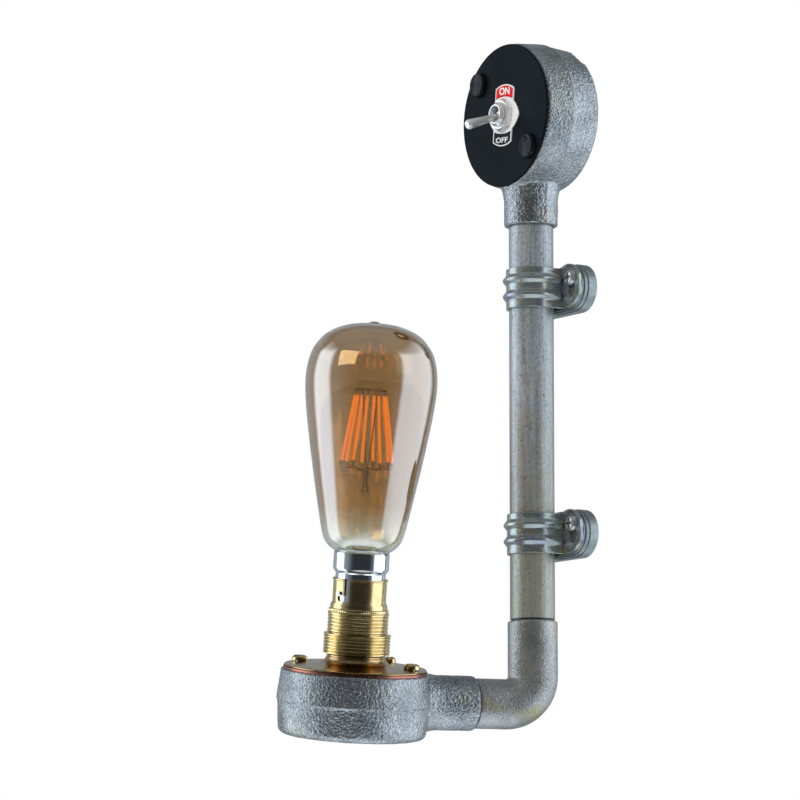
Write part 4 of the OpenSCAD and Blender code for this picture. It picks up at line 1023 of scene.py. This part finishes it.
@dataclass(frozen=True)
class Strap:
    """A pressed sheet strap: a wrap with two ribs, two side plates, and two dished ears with a slot."""

    inner_r: float = 10.05
    sheet: float = 1.2
    half_width: float = 9.0
    rib_height: float = 1.5
    rib_middles: Pair = (-3.2, 4.0)
    rib_reach: float = 2.7
    rib_fade: float = 1.2
    ear_y: float = 8.85
    ear_gap: float = 0.4
    ear_x: float = 15.25
    ear_r: float = 9.85
    ear_lift: float = 0.8
    ear_steps: tuple[float, ...] = (0, 0.06, 0.2, 0.4, 0.52, 0.6, 0.68, 0.76, 0.84, 0.9, 0.95, 0.98, 1.0)
    slot: Pair = (18.5, 1.5)
    slot_r: float = 2.3
    slot_half: float = 3.7
    border_at: tuple[float, ...] = (0, 0.5, 0.72, 0.9, 1.0)
    border_rise: tuple[float, ...] = (0, 0, 0.5, 0.5, 0.2)
    border_x: float = 13.0
    border_fade: float = 3.0
    edge: float = 0.2
    edge_angle: float = 50.0
    shade_angle: float = 40.0
    half_turn: int = 61
    across: int = 91
    up_side: int = 14
    probe_reach: float = 25.0
    probe_steps: int = 1001

    def rib(self, z: np.ndarray) -> np.ndarray:
        """Height of the ribs: cos^2 of a quarter turn across each rib's reach.

        Args:
            z: places across the band.

        Returns:
            The height at each place.
        """
        total = np.zeros_like(z)
        for middle in self.rib_middles:
            away = np.clip(np.abs(z - middle) / self.rib_reach, 0, 1)
            total += self.rib_height * np.cos(0.5 * math.pi * away) ** 2
        return total

    def wrap(self) -> np.ndarray:
        """The ribbed band from ear to ear, out along its face and back a sheet's thickness inside.

        Returns:
            The band's grid, for a surface closed across.
        """
        side = np.linspace(0, 1, self.up_side)[:, None]
        outer = self.inner_r + self.sheet
        angle = np.linspace(math.pi, 2 * math.pi, self.half_turn)[:, None]
        way = np.hstack([np.cos(angle), np.sin(angle)])
        left = np.hstack([0 * side - outer, self.ear_y * (1 - side)])
        right = np.hstack([0 * side + outer, self.ear_y * side])
        path = np.vstack([left, (outer * way)[1:-1], right])
        out = np.vstack([0 * left + (-1, 0), way[1:-1], 0 * right + (1, 0)])
        fade = np.clip((self.ear_y - path[:, 1]) / self.rib_fade, 0, 1)
        z = np.linspace(-self.half_width, self.half_width, self.across)
        rows = []
        for heights, back in ((z, 0.0), (z[::-1], self.sheet)):
            lift = fade[:, None] * self.rib(heights)[None, :] - back
            flat = path[:, None, :] + out[:, None, :] * lift[:, :, None]
            rows.append(np.concatenate([flat, np.broadcast_to(heights[None, :, None], (*lift.shape, 1))], axis=-1))
        return np.concatenate(rows, axis=1)

    def inside(self, x: np.ndarray, z: np.ndarray) -> np.ndarray:
        """Whether places lie on the right ear: beside the band up to its round end, or in the round end.

        Args:
            x: places out from the band's middle.
            z: places across the band.

        Returns:
            True where they do.
        """
        plain = (x <= self.ear_x) & (np.abs(z) <= self.half_width)
        round_end = np.hypot(x - self.ear_x, z - self.ear_lift) <= self.ear_r
        return (x >= self.inner_r + self.ear_gap) & (plain | round_end)

    def ear(self, side: int) -> np.ndarray:
        """An ear as rays from its slot's edge to its outline, raised by a pressed border near the outline.

        Args:
            side: -1 for the left ear, 1 for the right.

        Returns:
            The ear's grid, for a surface closed both ways.
        """
        half = np.linspace(0, math.pi, self.half_turn)
        angle = np.concatenate([half, half + math.pi])
        centre = np.where(np.arange(len(angle)) < self.half_turn, self.slot_half, -self.slot_half)
        way = np.stack([np.cos(angle), np.sin(angle)], axis=1)
        start = way * self.slot_r + np.stack([0 * centre + self.slot[0], centre + self.slot[1]], axis=1)
        steps = np.linspace(0, self.probe_reach, self.probe_steps)
        probe = start[:, None, :] + way[:, None, :] * steps[None, :, None]
        held = np.cumprod(self.inside(probe[..., 0], probe[..., 1]), axis=1)
        reach = steps[np.maximum(held.sum(axis=1).astype(int) - 1, 1)]
        t = np.array(self.ear_steps)
        flat = start[:, None, :] + way[:, None, :] * (reach[:, None] * t)[:, :, None]
        rise = np.interp(t, self.border_at, self.border_rise)
        border = rise[None, :] * np.clip((flat[..., 0] - self.border_x) / self.border_fade, 0, 1)
        front = np.stack([side * flat[..., 0], self.ear_y - border, flat[..., 1]], axis=-1)
        back = np.stack([side * flat[..., 0], 0 * border + self.ear_y + self.sheet, flat[..., 1]], axis=-1)
        return np.concatenate([front, back[:, ::-1]], axis=1)

    def build(self, end: str, finish: Material) -> None:
        """Makes the strap of one saddle.

        Args:
            end: upper or lower.
            finish: its material.
        """
        seat = SADDLES[end]
        ears = [seat.place(self.ear(side)) for side in (-1, 1)]
        pressed = surface(f"{end}_strap_pressed", *ears, wrap_u=True, wrap_v=True)
        band = surface(f"{end}_strap_band", seat.place(self.wrap()), wrap_v=True)
        for shape in (pressed, band):
            dress(smooth(shape, self.shade_angle), finish, "wall_frame", f"{end}_saddle_strap")
            edge = shape.modifiers.new("edges", "BEVEL")
            edge.width = self.edge * MM
            edge.segments = 2
            edge.angle_limit = math.radians(self.edge_angle)


@dataclass(frozen=True)
class Conduit:
    """The pipe, and the sheet straps and screws that hold it."""

    finishes: Finishes

    def build(self) -> None:
        """Builds the straps and dresses the pipe and its screws."""
        dress_nodes(self.finishes.tube, "conduit_pipe")
        for end in SADDLES:
            Strap().build(end, self.finishes.sheet)
        dress_nodes(self.finishes.screw, "saddle_screws", edge=0.15)


class Word(Enum):
    """The two words of the switch label: text, height, width and middle along the label in millimetres."""

    ON = ("ON", 3.4, 7.9, -10.9)
    OFF = ("OFF", 2.5, 9.2, 11.2)


@dataclass(frozen=True)
class SwitchHead:
    """Cover, caps, label, nut, bushing and lever of the toggle switch, and the switch behind them."""

    finishes: Finishes
    label_z: float = 15.0
    ink: float = 0.06
    word_lift: float = 1.6
    word_extrude: float = 0.01
    word_fatten: float = 0.03
    half_h: float = 14.0
    half_w: float = 6.35
    edge: float = 0.6
    panel_start: float = 8.4
    panel_bow: float = 0.45
    panel_grid: tuple[int, int] = (25, 7)

    def panel(self, word: Word, material: Material) -> Shape:
        """The printed panel under a word: a grid raised by the ink, whose outer side follows the label's round end.

        y runs across the label. The outer side lies at sqrt(R^2 - y^2), with the label's half height less its edge
        as R, and the inner one at sqrt(start^2 - bow y^2).

        Args:
            word: the word.
            material: the ink.

        Returns:
            The panel.
        """
        across, along = self.panel_grid
        s, t = np.meshgrid(np.linspace(-1, 1, across), np.linspace(0, 1, along), indexing="ij")
        y = s * self.half_w
        side = np.sign(word.value[3])
        outer = side * np.sqrt((self.half_h - self.edge) ** 2 - y**2)
        inner = side * np.sqrt(self.panel_start**2 - self.panel_bow * y**2)
        x = inner + (outer - inner) * t
        shell = np.stack([x, y, np.full_like(x, self.label_z + self.ink)], axis=-1)
        made = surface(f"label_{word.name.lower()}_panel", LABEL.place(shell))
        solid = made.modifiers.new("ink", "SOLIDIFY")
        solid.thickness = self.ink * MM
        solid.offset = -1
        return dress(made, material, "wall_frame")

    def lettering(self, word: Word) -> Shape:
        """One word in raised white ink, reading upright beside the lever.

        Args:
            word: the word.

        Returns:
            The lettering.
        """
        text, height, width, middle = word.value
        curve = bpy.data.curves.new(f"word_{text.lower()}", "FONT")
        curve.body = text
        curve.align_x = "CENTER"
        curve.align_y = "CENTER"
        curve.size = 1.0
        curve.extrude = self.word_extrude
        curve.offset = self.word_fatten
        mesh = baked(linked(curve.name, curve))
        co = points_of(mesh)
        low, high = co.min(0), co.max(0)
        x, y, z = ((co - (low + high) / 2) / (high - low)).T
        local = np.stack([middle - y * height, x * width, self.label_z + self.ink * (self.word_lift + z)], axis=1)
        move_points(mesh, LABEL.place(local))
        return dress(shape_of(curve.name, mesh, 1e-7), self.finishes.label_white, "wall_frame")

    def build(self) -> None:
        """Builds the label's print and dresses the switch's solids."""
        f = self.finishes
        self.panel(Word.ON, f.label_red)
        self.panel(Word.OFF, f.label_black)
        for word in Word:
            self.lettering(word)
        dress_nodes(f.cover, "switch_cover", edge=0.3)
        dress_nodes(f.cap, "screw_caps", edge=0.15)
        dress_nodes(f.label_white, "switch_label", edge=0.08)
        dress_nodes(f.nickel, "front_nut", edge=0.2)
        dress_nodes(f.nickel, "switch_bushing", "toggle_lever")
        dress_nodes(f.steel, "cover_screws", "lock_washer", "rear_nut", "lever_pin", "connector_screws")
        dress_nodes(f.phenolic, "switch_body")
        dress_nodes(f.nylon, "lever_plunger")
        dress_nodes(f.brass, "contact_rocker", "line_terminal", "load_terminal")
        dress_nodes(f.connector, "connector_block")
        dress_nodes(f.rubber, "cable_grommet")
        dress_nodes(f.brown_pvc, "line_link_wire")


@dataclass(frozen=True)
class Ring:
    """A threaded brass ring: a foot, a run of round ribs, a head with its bore, and a band of small teeth.

    Foot and head are outlines of radius beyond r and height above z; the band lies between two heights above z.
    """

    name: str
    node: str
    body: str
    r: float
    z: float
    rib_z: float
    pitch: float
    foot: tuple[Pair, ...]
    head: tuple[Pair, ...]
    toothed: Pair
    teeth: int
    tooth: float
    around: int
    ribs: int = 5
    rib_depth: float = 0.55

    def outline(self) -> np.ndarray:
        """Foot, ribs and head; the ribs are r minus depth times (1 - |sin|^0.8), sampled ten times to a rib.

        Returns:
            The closed outline with its corners rounded.
        """
        foot, head = ([(self.r + out, self.z + up) for out, up in half] for half in (self.foot, self.head))
        up = np.linspace(0, self.ribs * self.pitch, self.ribs * 10 + 1)
        wave = self.r - self.rib_depth * (1 - np.abs(np.sin(np.pi * up / self.pitch)) ** 0.8)
        return softened(foot + list(zip(wave.tolist(), (self.z + self.rib_z + up).tolist())) + head)

    def knurl(self, angle: np.ndarray, z: np.ndarray) -> np.ndarray:
        """The teeth: a sine round the ring between two heights."""
        inside = (z > self.z + self.toothed[0]) & (z < self.z + self.toothed[1])
        return np.where(inside, self.tooth * np.sin(self.teeth * angle), 0.0)

    def build(self, finish: Material) -> None:
        """Makes the ring in its solid's place."""
        dress(turned(self.name, self.outline(), self.around, self.knurl), finish, self.body, self.node)


HOLDER_RING = Ring(
    "holder_ring_turned", "holder_ring", "lamp", r=14.6, z=20.6, rib_z=0.9, pitch=1.45,
    foot=((-2.6, 0), (-0.6, 0), (-0.1, 0.15), (-0.1, 0.75)),
    head=((0.1, 8.3), (0.1, 8.7), (-0.3, 8.8), (-2.3, 8.8), (-2.3, 4.4), (-2.6, 4.4)),
    toothed=(0, 0.8), teeth=72, tooth=0.1, around=144,
)
SHADE_RING = Ring(
    "shade_ring_turned", "shade_ring", "shade_ring", r=13.3, z=29.7, rib_z=0.2, pitch=1.55,
    foot=((-1.1, 0), (-0.5, 0)),
    head=(
        (0.1, 8.2), (0.1, 8.9), (-0.5, 9.2), (-0.35, 9.5), (-0.35, 10.5), (-0.85, 10.8), (-0.75, 11.7),
        (-1.0, 12.5), (-1.1, 13), (-1.5, 13), (-1.5, 9.4), (-1.1, 9.4),
    ),
    toothed=(9.3, 10.4), teeth=80, tooth=0.09, around=240,
)


@dataclass(frozen=True)
class LampHolder:
    """Plate, rings, barrel and contacts of the bayonet holder."""

    finishes: Finishes
    contact_turn: float = 115.0
    contact_r: float = 5.0
    spring_low: float = 27.3
    spring_high: float = 37.66
    spring_r: float = 1.15
    spring_wire: float = 0.22
    spring_turns: int = 5
    turn_points: int = 24

    def springs(self) -> None:
        """The plungers' springs: r (cos a, sin a) climbs from low to high."""
        a = np.linspace(0, self.spring_turns * 2 * math.pi, self.spring_turns * self.turn_points + 1)
        climb = np.linspace(self.spring_low, self.spring_high, len(a))
        grids = []
        for turn in (self.contact_turn, self.contact_turn + 180):
            x, y = self.contact_r * math.cos(math.radians(turn)), self.contact_r * math.sin(math.radians(turn))
            path = np.stack([x + self.spring_r * np.cos(a), y + self.spring_r * np.sin(a), climb], axis=1)
            grids.append(strand(path, self.spring_wire))
        made = strands("plunger_springs_wound", grids)
        dress(made, self.finishes.steel, instead="plunger_springs")
        low, high = LAMP.place(np.array([[0, 0, self.spring_low], [0, 0, self.spring_high]]))
        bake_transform(made)

    def build(self) -> None:
        """Builds the springs and the two rings, and dresses the rest of the holder."""
        f = self.finishes
        self.springs()
        HOLDER_RING.build(f.brass)
        SHADE_RING.build(f.brass)
        dress_nodes(f.copper, "copper_gasket", edge=0.2)
        dress_nodes(f.bronze, "holder_plate", edge=0.12)
        dress_nodes(f.brass, "plate_screws", edge=0.15)
        dress_nodes(f.brass, "earth_screw", edge=0.12)
        dress_nodes(f.brass, "holder_barrel", edge=0.1)
        dress_nodes(f.brass, "terminal_screws", "contact_plungers")
        dress_nodes(f.ceramic, "contact_block")


@dataclass(frozen=True)
class Bulb:
    """Glass, stem, filaments and cap of the bulb."""

    finishes: Finishes
    wall: float = 0.8
    tip_wall: float = 1.6
    around: int = 128
    span_points: int = 6
    wire_points: int = 28
    stick_points: int = 18
    shade_angle: float = 60.0
    count: int = 8
    first_turn: float = 17.0
    own_turn: float = 3.0
    low_r: float = 11.4
    high_r: float = 6.6
    filament_z: float = 103.3
    filament_top: float = 134.6
    filament_r: float = 0.66
    filament_bow: float = 0.3
    clip: Pair = (-1.3, 0.5)
    clip_r: float = 1.25
    stem_z: float = 100.3
    foot_z: float = 101.7
    head_z: float = 135.5
    foot_rise: float = 2.2
    head_drop: float = 1.6
    wire_r: float = 0.32
    hub_r: float = 0.4
    post_r: float = 0.75
    post_knot: float = 0.3
    support_turns: Pair = (39.5, 219.5)
    lead_turns: tuple[float, ...] = (40, 160, 280)
    outline: tuple[Pair, ...] = (
        (11.75, 60.8), (11.75, 64.6), (12.3, 65.42), (14.4, 66.96), (16.5, 69.44), (17.9, 72.94),
        (19.5, 80.05), (20.9, 87.17), (22.3, 94.28), (23.6, 101.39), (24.9, 108.5), (26.05, 115.51),
        (27.2, 122.73), (28.1, 129.84), (28.7, 136.95), (28.45, 143.9), (26.9, 150.8), (24.8, 154.8),
        (21.4, 158.8), (16.8, 161.8), (11, 163.8), (5.6, 164.65), (3, 164.8), (2.1, 165.1), (1.2, 165.5),
        (0, 165.6),
    )

    def glass(self) -> Shape:
        """The envelope: a smooth curve through the outline's points, and the same curve a wall inside it.

        Between points b and c, with a before them and d after, it is half of
        (2 b + (c - a) t + (2 a - 5 b + 4 c - d) t^2 + (3 b - a - 3 c + d) t^3).

        Returns:
            The glass.
        """
        p = np.array(self.outline)
        p = np.vstack([2 * p[0] - p[1], p, [-p[-2][0], p[-2][1]]])
        a, b, c, d = (p[i : len(p) - 3 + i][:, None] for i in range(4))
        t = np.linspace(0, 1, self.span_points, endpoint=False)[None, :, None]
        curve = 0.5 * (2 * b + (c - a) * t + (2 * a - 5 * b + 4 * c - d) * t**2 + (3 * b - a - 3 * c + d) * t**3)
        outer = np.vstack([curve.reshape(-1, 2), self.outline[-1]])
        slope = np.gradient(outer, axis=0)
        normal = np.stack([slope[:, 1], -slope[:, 0]], axis=1)
        normal /= np.linalg.norm(normal, axis=1)[:, None]
        inner = outer - normal * self.wall
        top = self.outline[-1][1] - self.tip_wall
        inner[-1] = (0, top)
        inner = np.minimum(inner, [np.inf, top])
        inner[:, 0] = np.maximum(inner[:, 0], 0)
        return smooth(turned("bulb_glass_blown", np.vstack([outer, inner[::-1]]), self.around), self.shade_angle)

    def spot(self, turn: float, r: float, z: float) -> np.ndarray:
        """A point at an angle in degrees round the lamp's axis."""
        return np.array([r * math.cos(math.radians(turn)), r * math.sin(math.radians(turn)), z])

    def turn_of(self, index: int) -> float:
        """A filament's angle: an even share of the circle and a few degrees of its own, as a bent wire leaves it."""
        return 360 * index / self.count + self.first_turn + self.own_turn * math.sin(5 * index)

    def ends(self, index: int) -> tuple[np.ndarray, np.ndarray]:
        """A filament's lower and upper end."""
        turn = self.turn_of(index)
        return self.spot(turn, self.low_r, self.filament_z), self.spot(turn, self.high_r, self.filament_top)

    def bent(
        self, rng: np.random.Generator, start: np.ndarray, end: np.ndarray, swing: float, rise: float = 0.0
    ) -> np.ndarray:
        """A hand-bent wire: a straight run, and three sine waves and a rise that are still at both its ends.

        Args:
            rng: gives the waves their sizes and places.
            start: the wire's first point.
            end: its last point.
            swing: how far the waves take it aside.
            rise: how far its middle stands up.

        Returns:
            The wire's grid.
        """
        t = np.linspace(0, 1, self.wire_points)[:, None]
        waves = sum(
            rng.uniform(-1, 1, 3) * np.sin((k + 1) * math.pi * t + rng.uniform(0, 6)) / k for k in (1, 2, 3)
        )
        hold = np.sin(math.pi * t) ** 0.8
        return strand(start + (end - start) * t + hold * (swing * waves + np.array([0, 0, rise])), self.wire_r)

    def wires(self) -> None:
        """The hand-bent wires: spokes to the filaments' feet, a chain round their heads, supports, leads, a post."""
        rng = np.random.default_rng(8)
        spot, foot_z, head_z = self.spot, self.foot_z, self.head_z
        grids = []
        for i in range(self.count):
            turn, following = self.turn_of(i), self.turn_of((i + 1) % self.count)
            foot, head = spot(turn, self.low_r, foot_z), spot(turn, self.high_r, head_z)
            hub = spot(turn, self.hub_r, foot_z - rng.uniform(0, 2.5))
            grids.append(self.bent(rng, hub, foot, 0.5, rng.uniform(-0.2, 0.8)))
            grids.append(self.bent(rng, foot, spot(turn, self.low_r, foot_z + self.foot_rise), 0.05))
            grids.append(self.bent(rng, spot(turn, self.high_r + 0.1, head_z - self.head_drop), head, 0.08))
            grids.append(self.bent(rng, head, spot(following, self.high_r, head_z), 0.35, rng.uniform(-0.1, 0.9)))
        for turn in self.support_turns:
            end = spot(turn, self.high_r * 0.92, head_z)
            grids.append(self.bent(rng, spot(turn, 0.6, foot_z + 0.2), end, 0.25))
        for turn in self.lead_turns:
            end = spot(turn + 50, 0.7, foot_z + 0.6)
            grids.append(self.bent(rng, spot(turn, 1.0, self.stem_z - 9), end, 0.3))
        post = np.array([[0, 0, z] for z in np.linspace(self.stem_z - 0.5, foot_z + 0.8, 9)])
        grids.append(strand(post, self.post_r + self.post_knot * np.sin(np.linspace(0, 9, 9)), 12))
        dress(strands("filament_wires", grids), self.finishes.lead, "bulb", "filament_leads")

    def filaments(self) -> None:
        """The coated sticks, none quite straight: a run plus a half wave to a side of its own."""
        rng = np.random.default_rng(4)
        t = np.linspace(0, 1, self.stick_points)[:, None]
        grids = []
        for i in range(self.count):
            low, high = self.ends(i)
            bow = rng.uniform(-self.filament_bow, self.filament_bow, 3)
            path = low + (high - low) * t + np.sin(math.pi * t) * bow
            grids.append(strand(path, self.filament_r - 0.1 * (2 * t[:, 0] - 1) ** 8, 16))
        dress(strands("filament_sticks", grids), self.finishes.filament, "bulb", "led_filaments")

    def clips(self) -> None:
        """The crimped metal ends of the filaments: a sleeve pinched to (1 - 0.3 t^2) of its radius."""
        t = np.linspace(*self.clip, 10)[:, None]
        pinch = self.clip_r * (1 - 0.3 * np.clip(t[:, 0] / self.clip[1], 0, 1) ** 2)
        grids = []
        for i in range(self.count):
            low, high = self.ends(i)
            way = (high - low) / np.linalg.norm(high - low)
            grids += [strand(end + out * t, pinch, 14) for end, out in ((low, -way), (high, way))]
        dress(strands("filament_clips", grids), self.finishes.nickel, "bulb")

    def build(self) -> None:
        """Builds the glass, the filaments with their wires and clips, and dresses the rest of the bulb."""
        f = self.finishes
        dress(self.glass(), f.amber, "bulb", "bulb_glass")
        self.wires()
        self.filaments()
        self.clips()
        dress_nodes(f.chrome, "bulb_cap")
        dress_nodes(f.insulator, "cap_insulator")
        dress_nodes(f.steel, "cap_contacts")
        dress_nodes(f.glass, "bulb_stem")


@dataclass(frozen=True)
class Wiring:
    """The insulated wires in the boxes, the pipe and the elbow."""

    finishes: Finishes

    def build(self) -> None:
        """Dresses each stretch by its colour."""
        f = self.finishes
        for core, finish in (("live", f.brown_pvc), ("neutral", f.blue_pvc), ("earth", f.green_pvc)):
            dress_nodes(finish, *(f"{core}_wire_{stretch}" for stretch in ("upper", "elbow", "lower")))


@dataclass(frozen=True)
class Studio:
    """Camera, floor and light.

    The walls are stops of angle, in degrees from the camera's own direction, and level of light.
    """

    place: Place = (1.609306, -1.173791, -0.271285)
    target: Place = (-0.032823, -0.066161, 0.005424)
    lens: float = 201.937
    sensor: float = 36.0
    floor_z: float = -0.45
    floor_half: float = 3.0
    floor_grey: Colour = (0.9, 0.9, 0.9)
    floor_rough: float = 0.9
    walls: tuple[Pair, ...] = (
        (-180, 0.4), (-124, 0.4), (-112, 2.3), (-84, 2.3), (-72, 0.3), (-30, 0.035), (34, 0.035), (52, 0.15),
        (62, 1.8), (124, 1.8), (136, 0.45), (180, 0.4),
    )
    brightest: float = 3.0
    ceiling: float = 0.25
    ground: float = 1.5
    matt_level: float = 0.66
    metal_tint: Colour = (0.84, 0.955, 1.08)
    lamp_size: float = 0.8

    def aimed(self, data: bpy.types.ID, place: Place, target: Place = (0, 0, 0)) -> Shape:
        """A camera or a lamp that looks at a target.

        Args:
            data: the camera or the lamp.
            place: where it stands.
            target: what it looks at.

        Returns:
            Its object.
        """
        made = linked(data.name, data)
        made.location = place
        made.rotation_euler = (Vector(target) - Vector(place)).to_track_quat("-Z", "Y").to_euler()
        return made

    def camera(self) -> None:
        """The camera at the photograph's place."""
        data = bpy.data.cameras.new("view")
        data.lens, data.sensor_width = self.lens, self.sensor
        data.clip_start, data.clip_end = 0.05, 50
        bpy.context.scene.camera = self.aimed(data, self.place, self.target)

    def floor(self) -> None:
        """A plain pale floor well below the light."""
        size = np.linspace(-self.floor_half, self.floor_half, 2)
        x, y = np.meshgrid(size, size, indexing="ij")
        made = surface("floor", np.stack([x, y, np.full_like(x, self.floor_z)], axis=-1))
        paint = Paint("floor_paint").finish(Base_Color=self.floor_grey, Roughness=self.floor_rough)
        made.data.materials.append(paint)
        made.visible_glossy = False

    def room(self, g: Graph) -> Socket:
        """The room that metal reflects: walls that fade towards floor and ceiling, and a level for each of these.

        A direction's angle round the object is atan2 of its parts along the camera's side and its back.

        Args:
            g: the world's nodes.

        Returns:
            The level of light in each direction.
        """
        way = g.add("ShaderNodeTexCoord", {}).outputs["Generated"]
        back = Vector(self.place) - Vector(self.target)
        back = Vector((back.x, back.y, 0)).normalized()
        side = Vector((-back.y, back.x, 0))
        parts = (
            g.add("ShaderNodeVectorMath", {0: way, 1: tuple(direction)}, operation="DOT_PRODUCT").outputs["Value"]
            for direction in (side, back)
        )
        ramp = g.add("ShaderNodeValToRGB", {0: g.range(g.math("ARCTAN2", *parts), -math.pi, math.pi)})
        stops = ramp.color_ramp
        stops.interpolation = "EASE"
        while len(stops.elements) < len(self.walls):
            stops.elements.new(0.5)
        for element, (angle, level) in zip(stops.elements, self.walls):
            element.position = (angle + 180) / 360
            element.color = (*(level / self.brightest,) * 3, 1)
        height = g.part(way, "Z")
        fade = g.times(g.range(height, -0.75, -0.45), g.range(height, 0.8, 0.5))
        walls = g.times(g.times(ramp.outputs[0], self.brightest), fade)
        above = g.range(height, 0.45, 0.85, 0, self.ceiling)
        below = g.range(height, -0.62, -0.84, 0, self.ground)
        return g.most(walls, g.most(above, below))

    def world(self) -> None:
        """White where the camera or glass sees it, a plain level for matt surfaces, and the room for metal."""
        world = bpy.data.worlds.new("room")
        world.use_nodes = True
        bpy.context.scene.world = world
        g = Graph(world.node_tree)
        g.tree.nodes.clear()
        room = self.room(g)
        ray = g.add("ShaderNodeLightPath", {}).outputs
        seen = g.most(ray["Is Camera Ray"], ray["Is Transmission Ray"])
        matt = g.times(ray["Is Diffuse Ray"], self.matt_level)
        level = g.most(g.most(seen, matt), g.times(ray["Is Glossy Ray"], room))
        cool = g.mix(ray["Is Glossy Ray"], (1.0, 1.0, 1.0), self.metal_tint)
        sky = g.add("ShaderNodeBackground", {"Color": cool, "Strength": level})
        g.add("ShaderNodeOutputWorld", {"Surface": sky.outputs[0]})

    def lamp(self, name: str, place: Place, power: float) -> None:
        """A square soft light that looks at the middle of the object.

        Args:
            name: its name.
            place: where it stands.
            power: its power in watts.
        """
        data = bpy.data.lights.new(name, "AREA")
        data.size = self.lamp_size
        data.energy = power
        made = self.aimed(data, place)
        made.visible_glossy = False
        made.visible_camera = False

    def build(self) -> None:
        """Sets up the view, the floor and the light."""
        self.camera()
        self.floor()
        self.world()
        self.lamp("key", (0.2, -1.25, 0.75), 14)
        self.lamp("fill", (1.1, 0.5, 0.5), 2)
        bpy.context.scene.view_settings.view_transform = "Standard"


def main() -> None:
    """Builds the sub-assemblies in order."""
    logging.basicConfig(level=logging.INFO, format="%(name)s %(message)s", stream=sys.stdout)
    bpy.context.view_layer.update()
    Studio().build()
    finishes = Finishes()
    for assembly in (Castings, Conduit, SwitchHead, LampHolder, Bulb, Wiring):
        log.info("building %s", assembly.__name__)
        assembly(finishes).build()


if __name__ == "__main__":
    main()
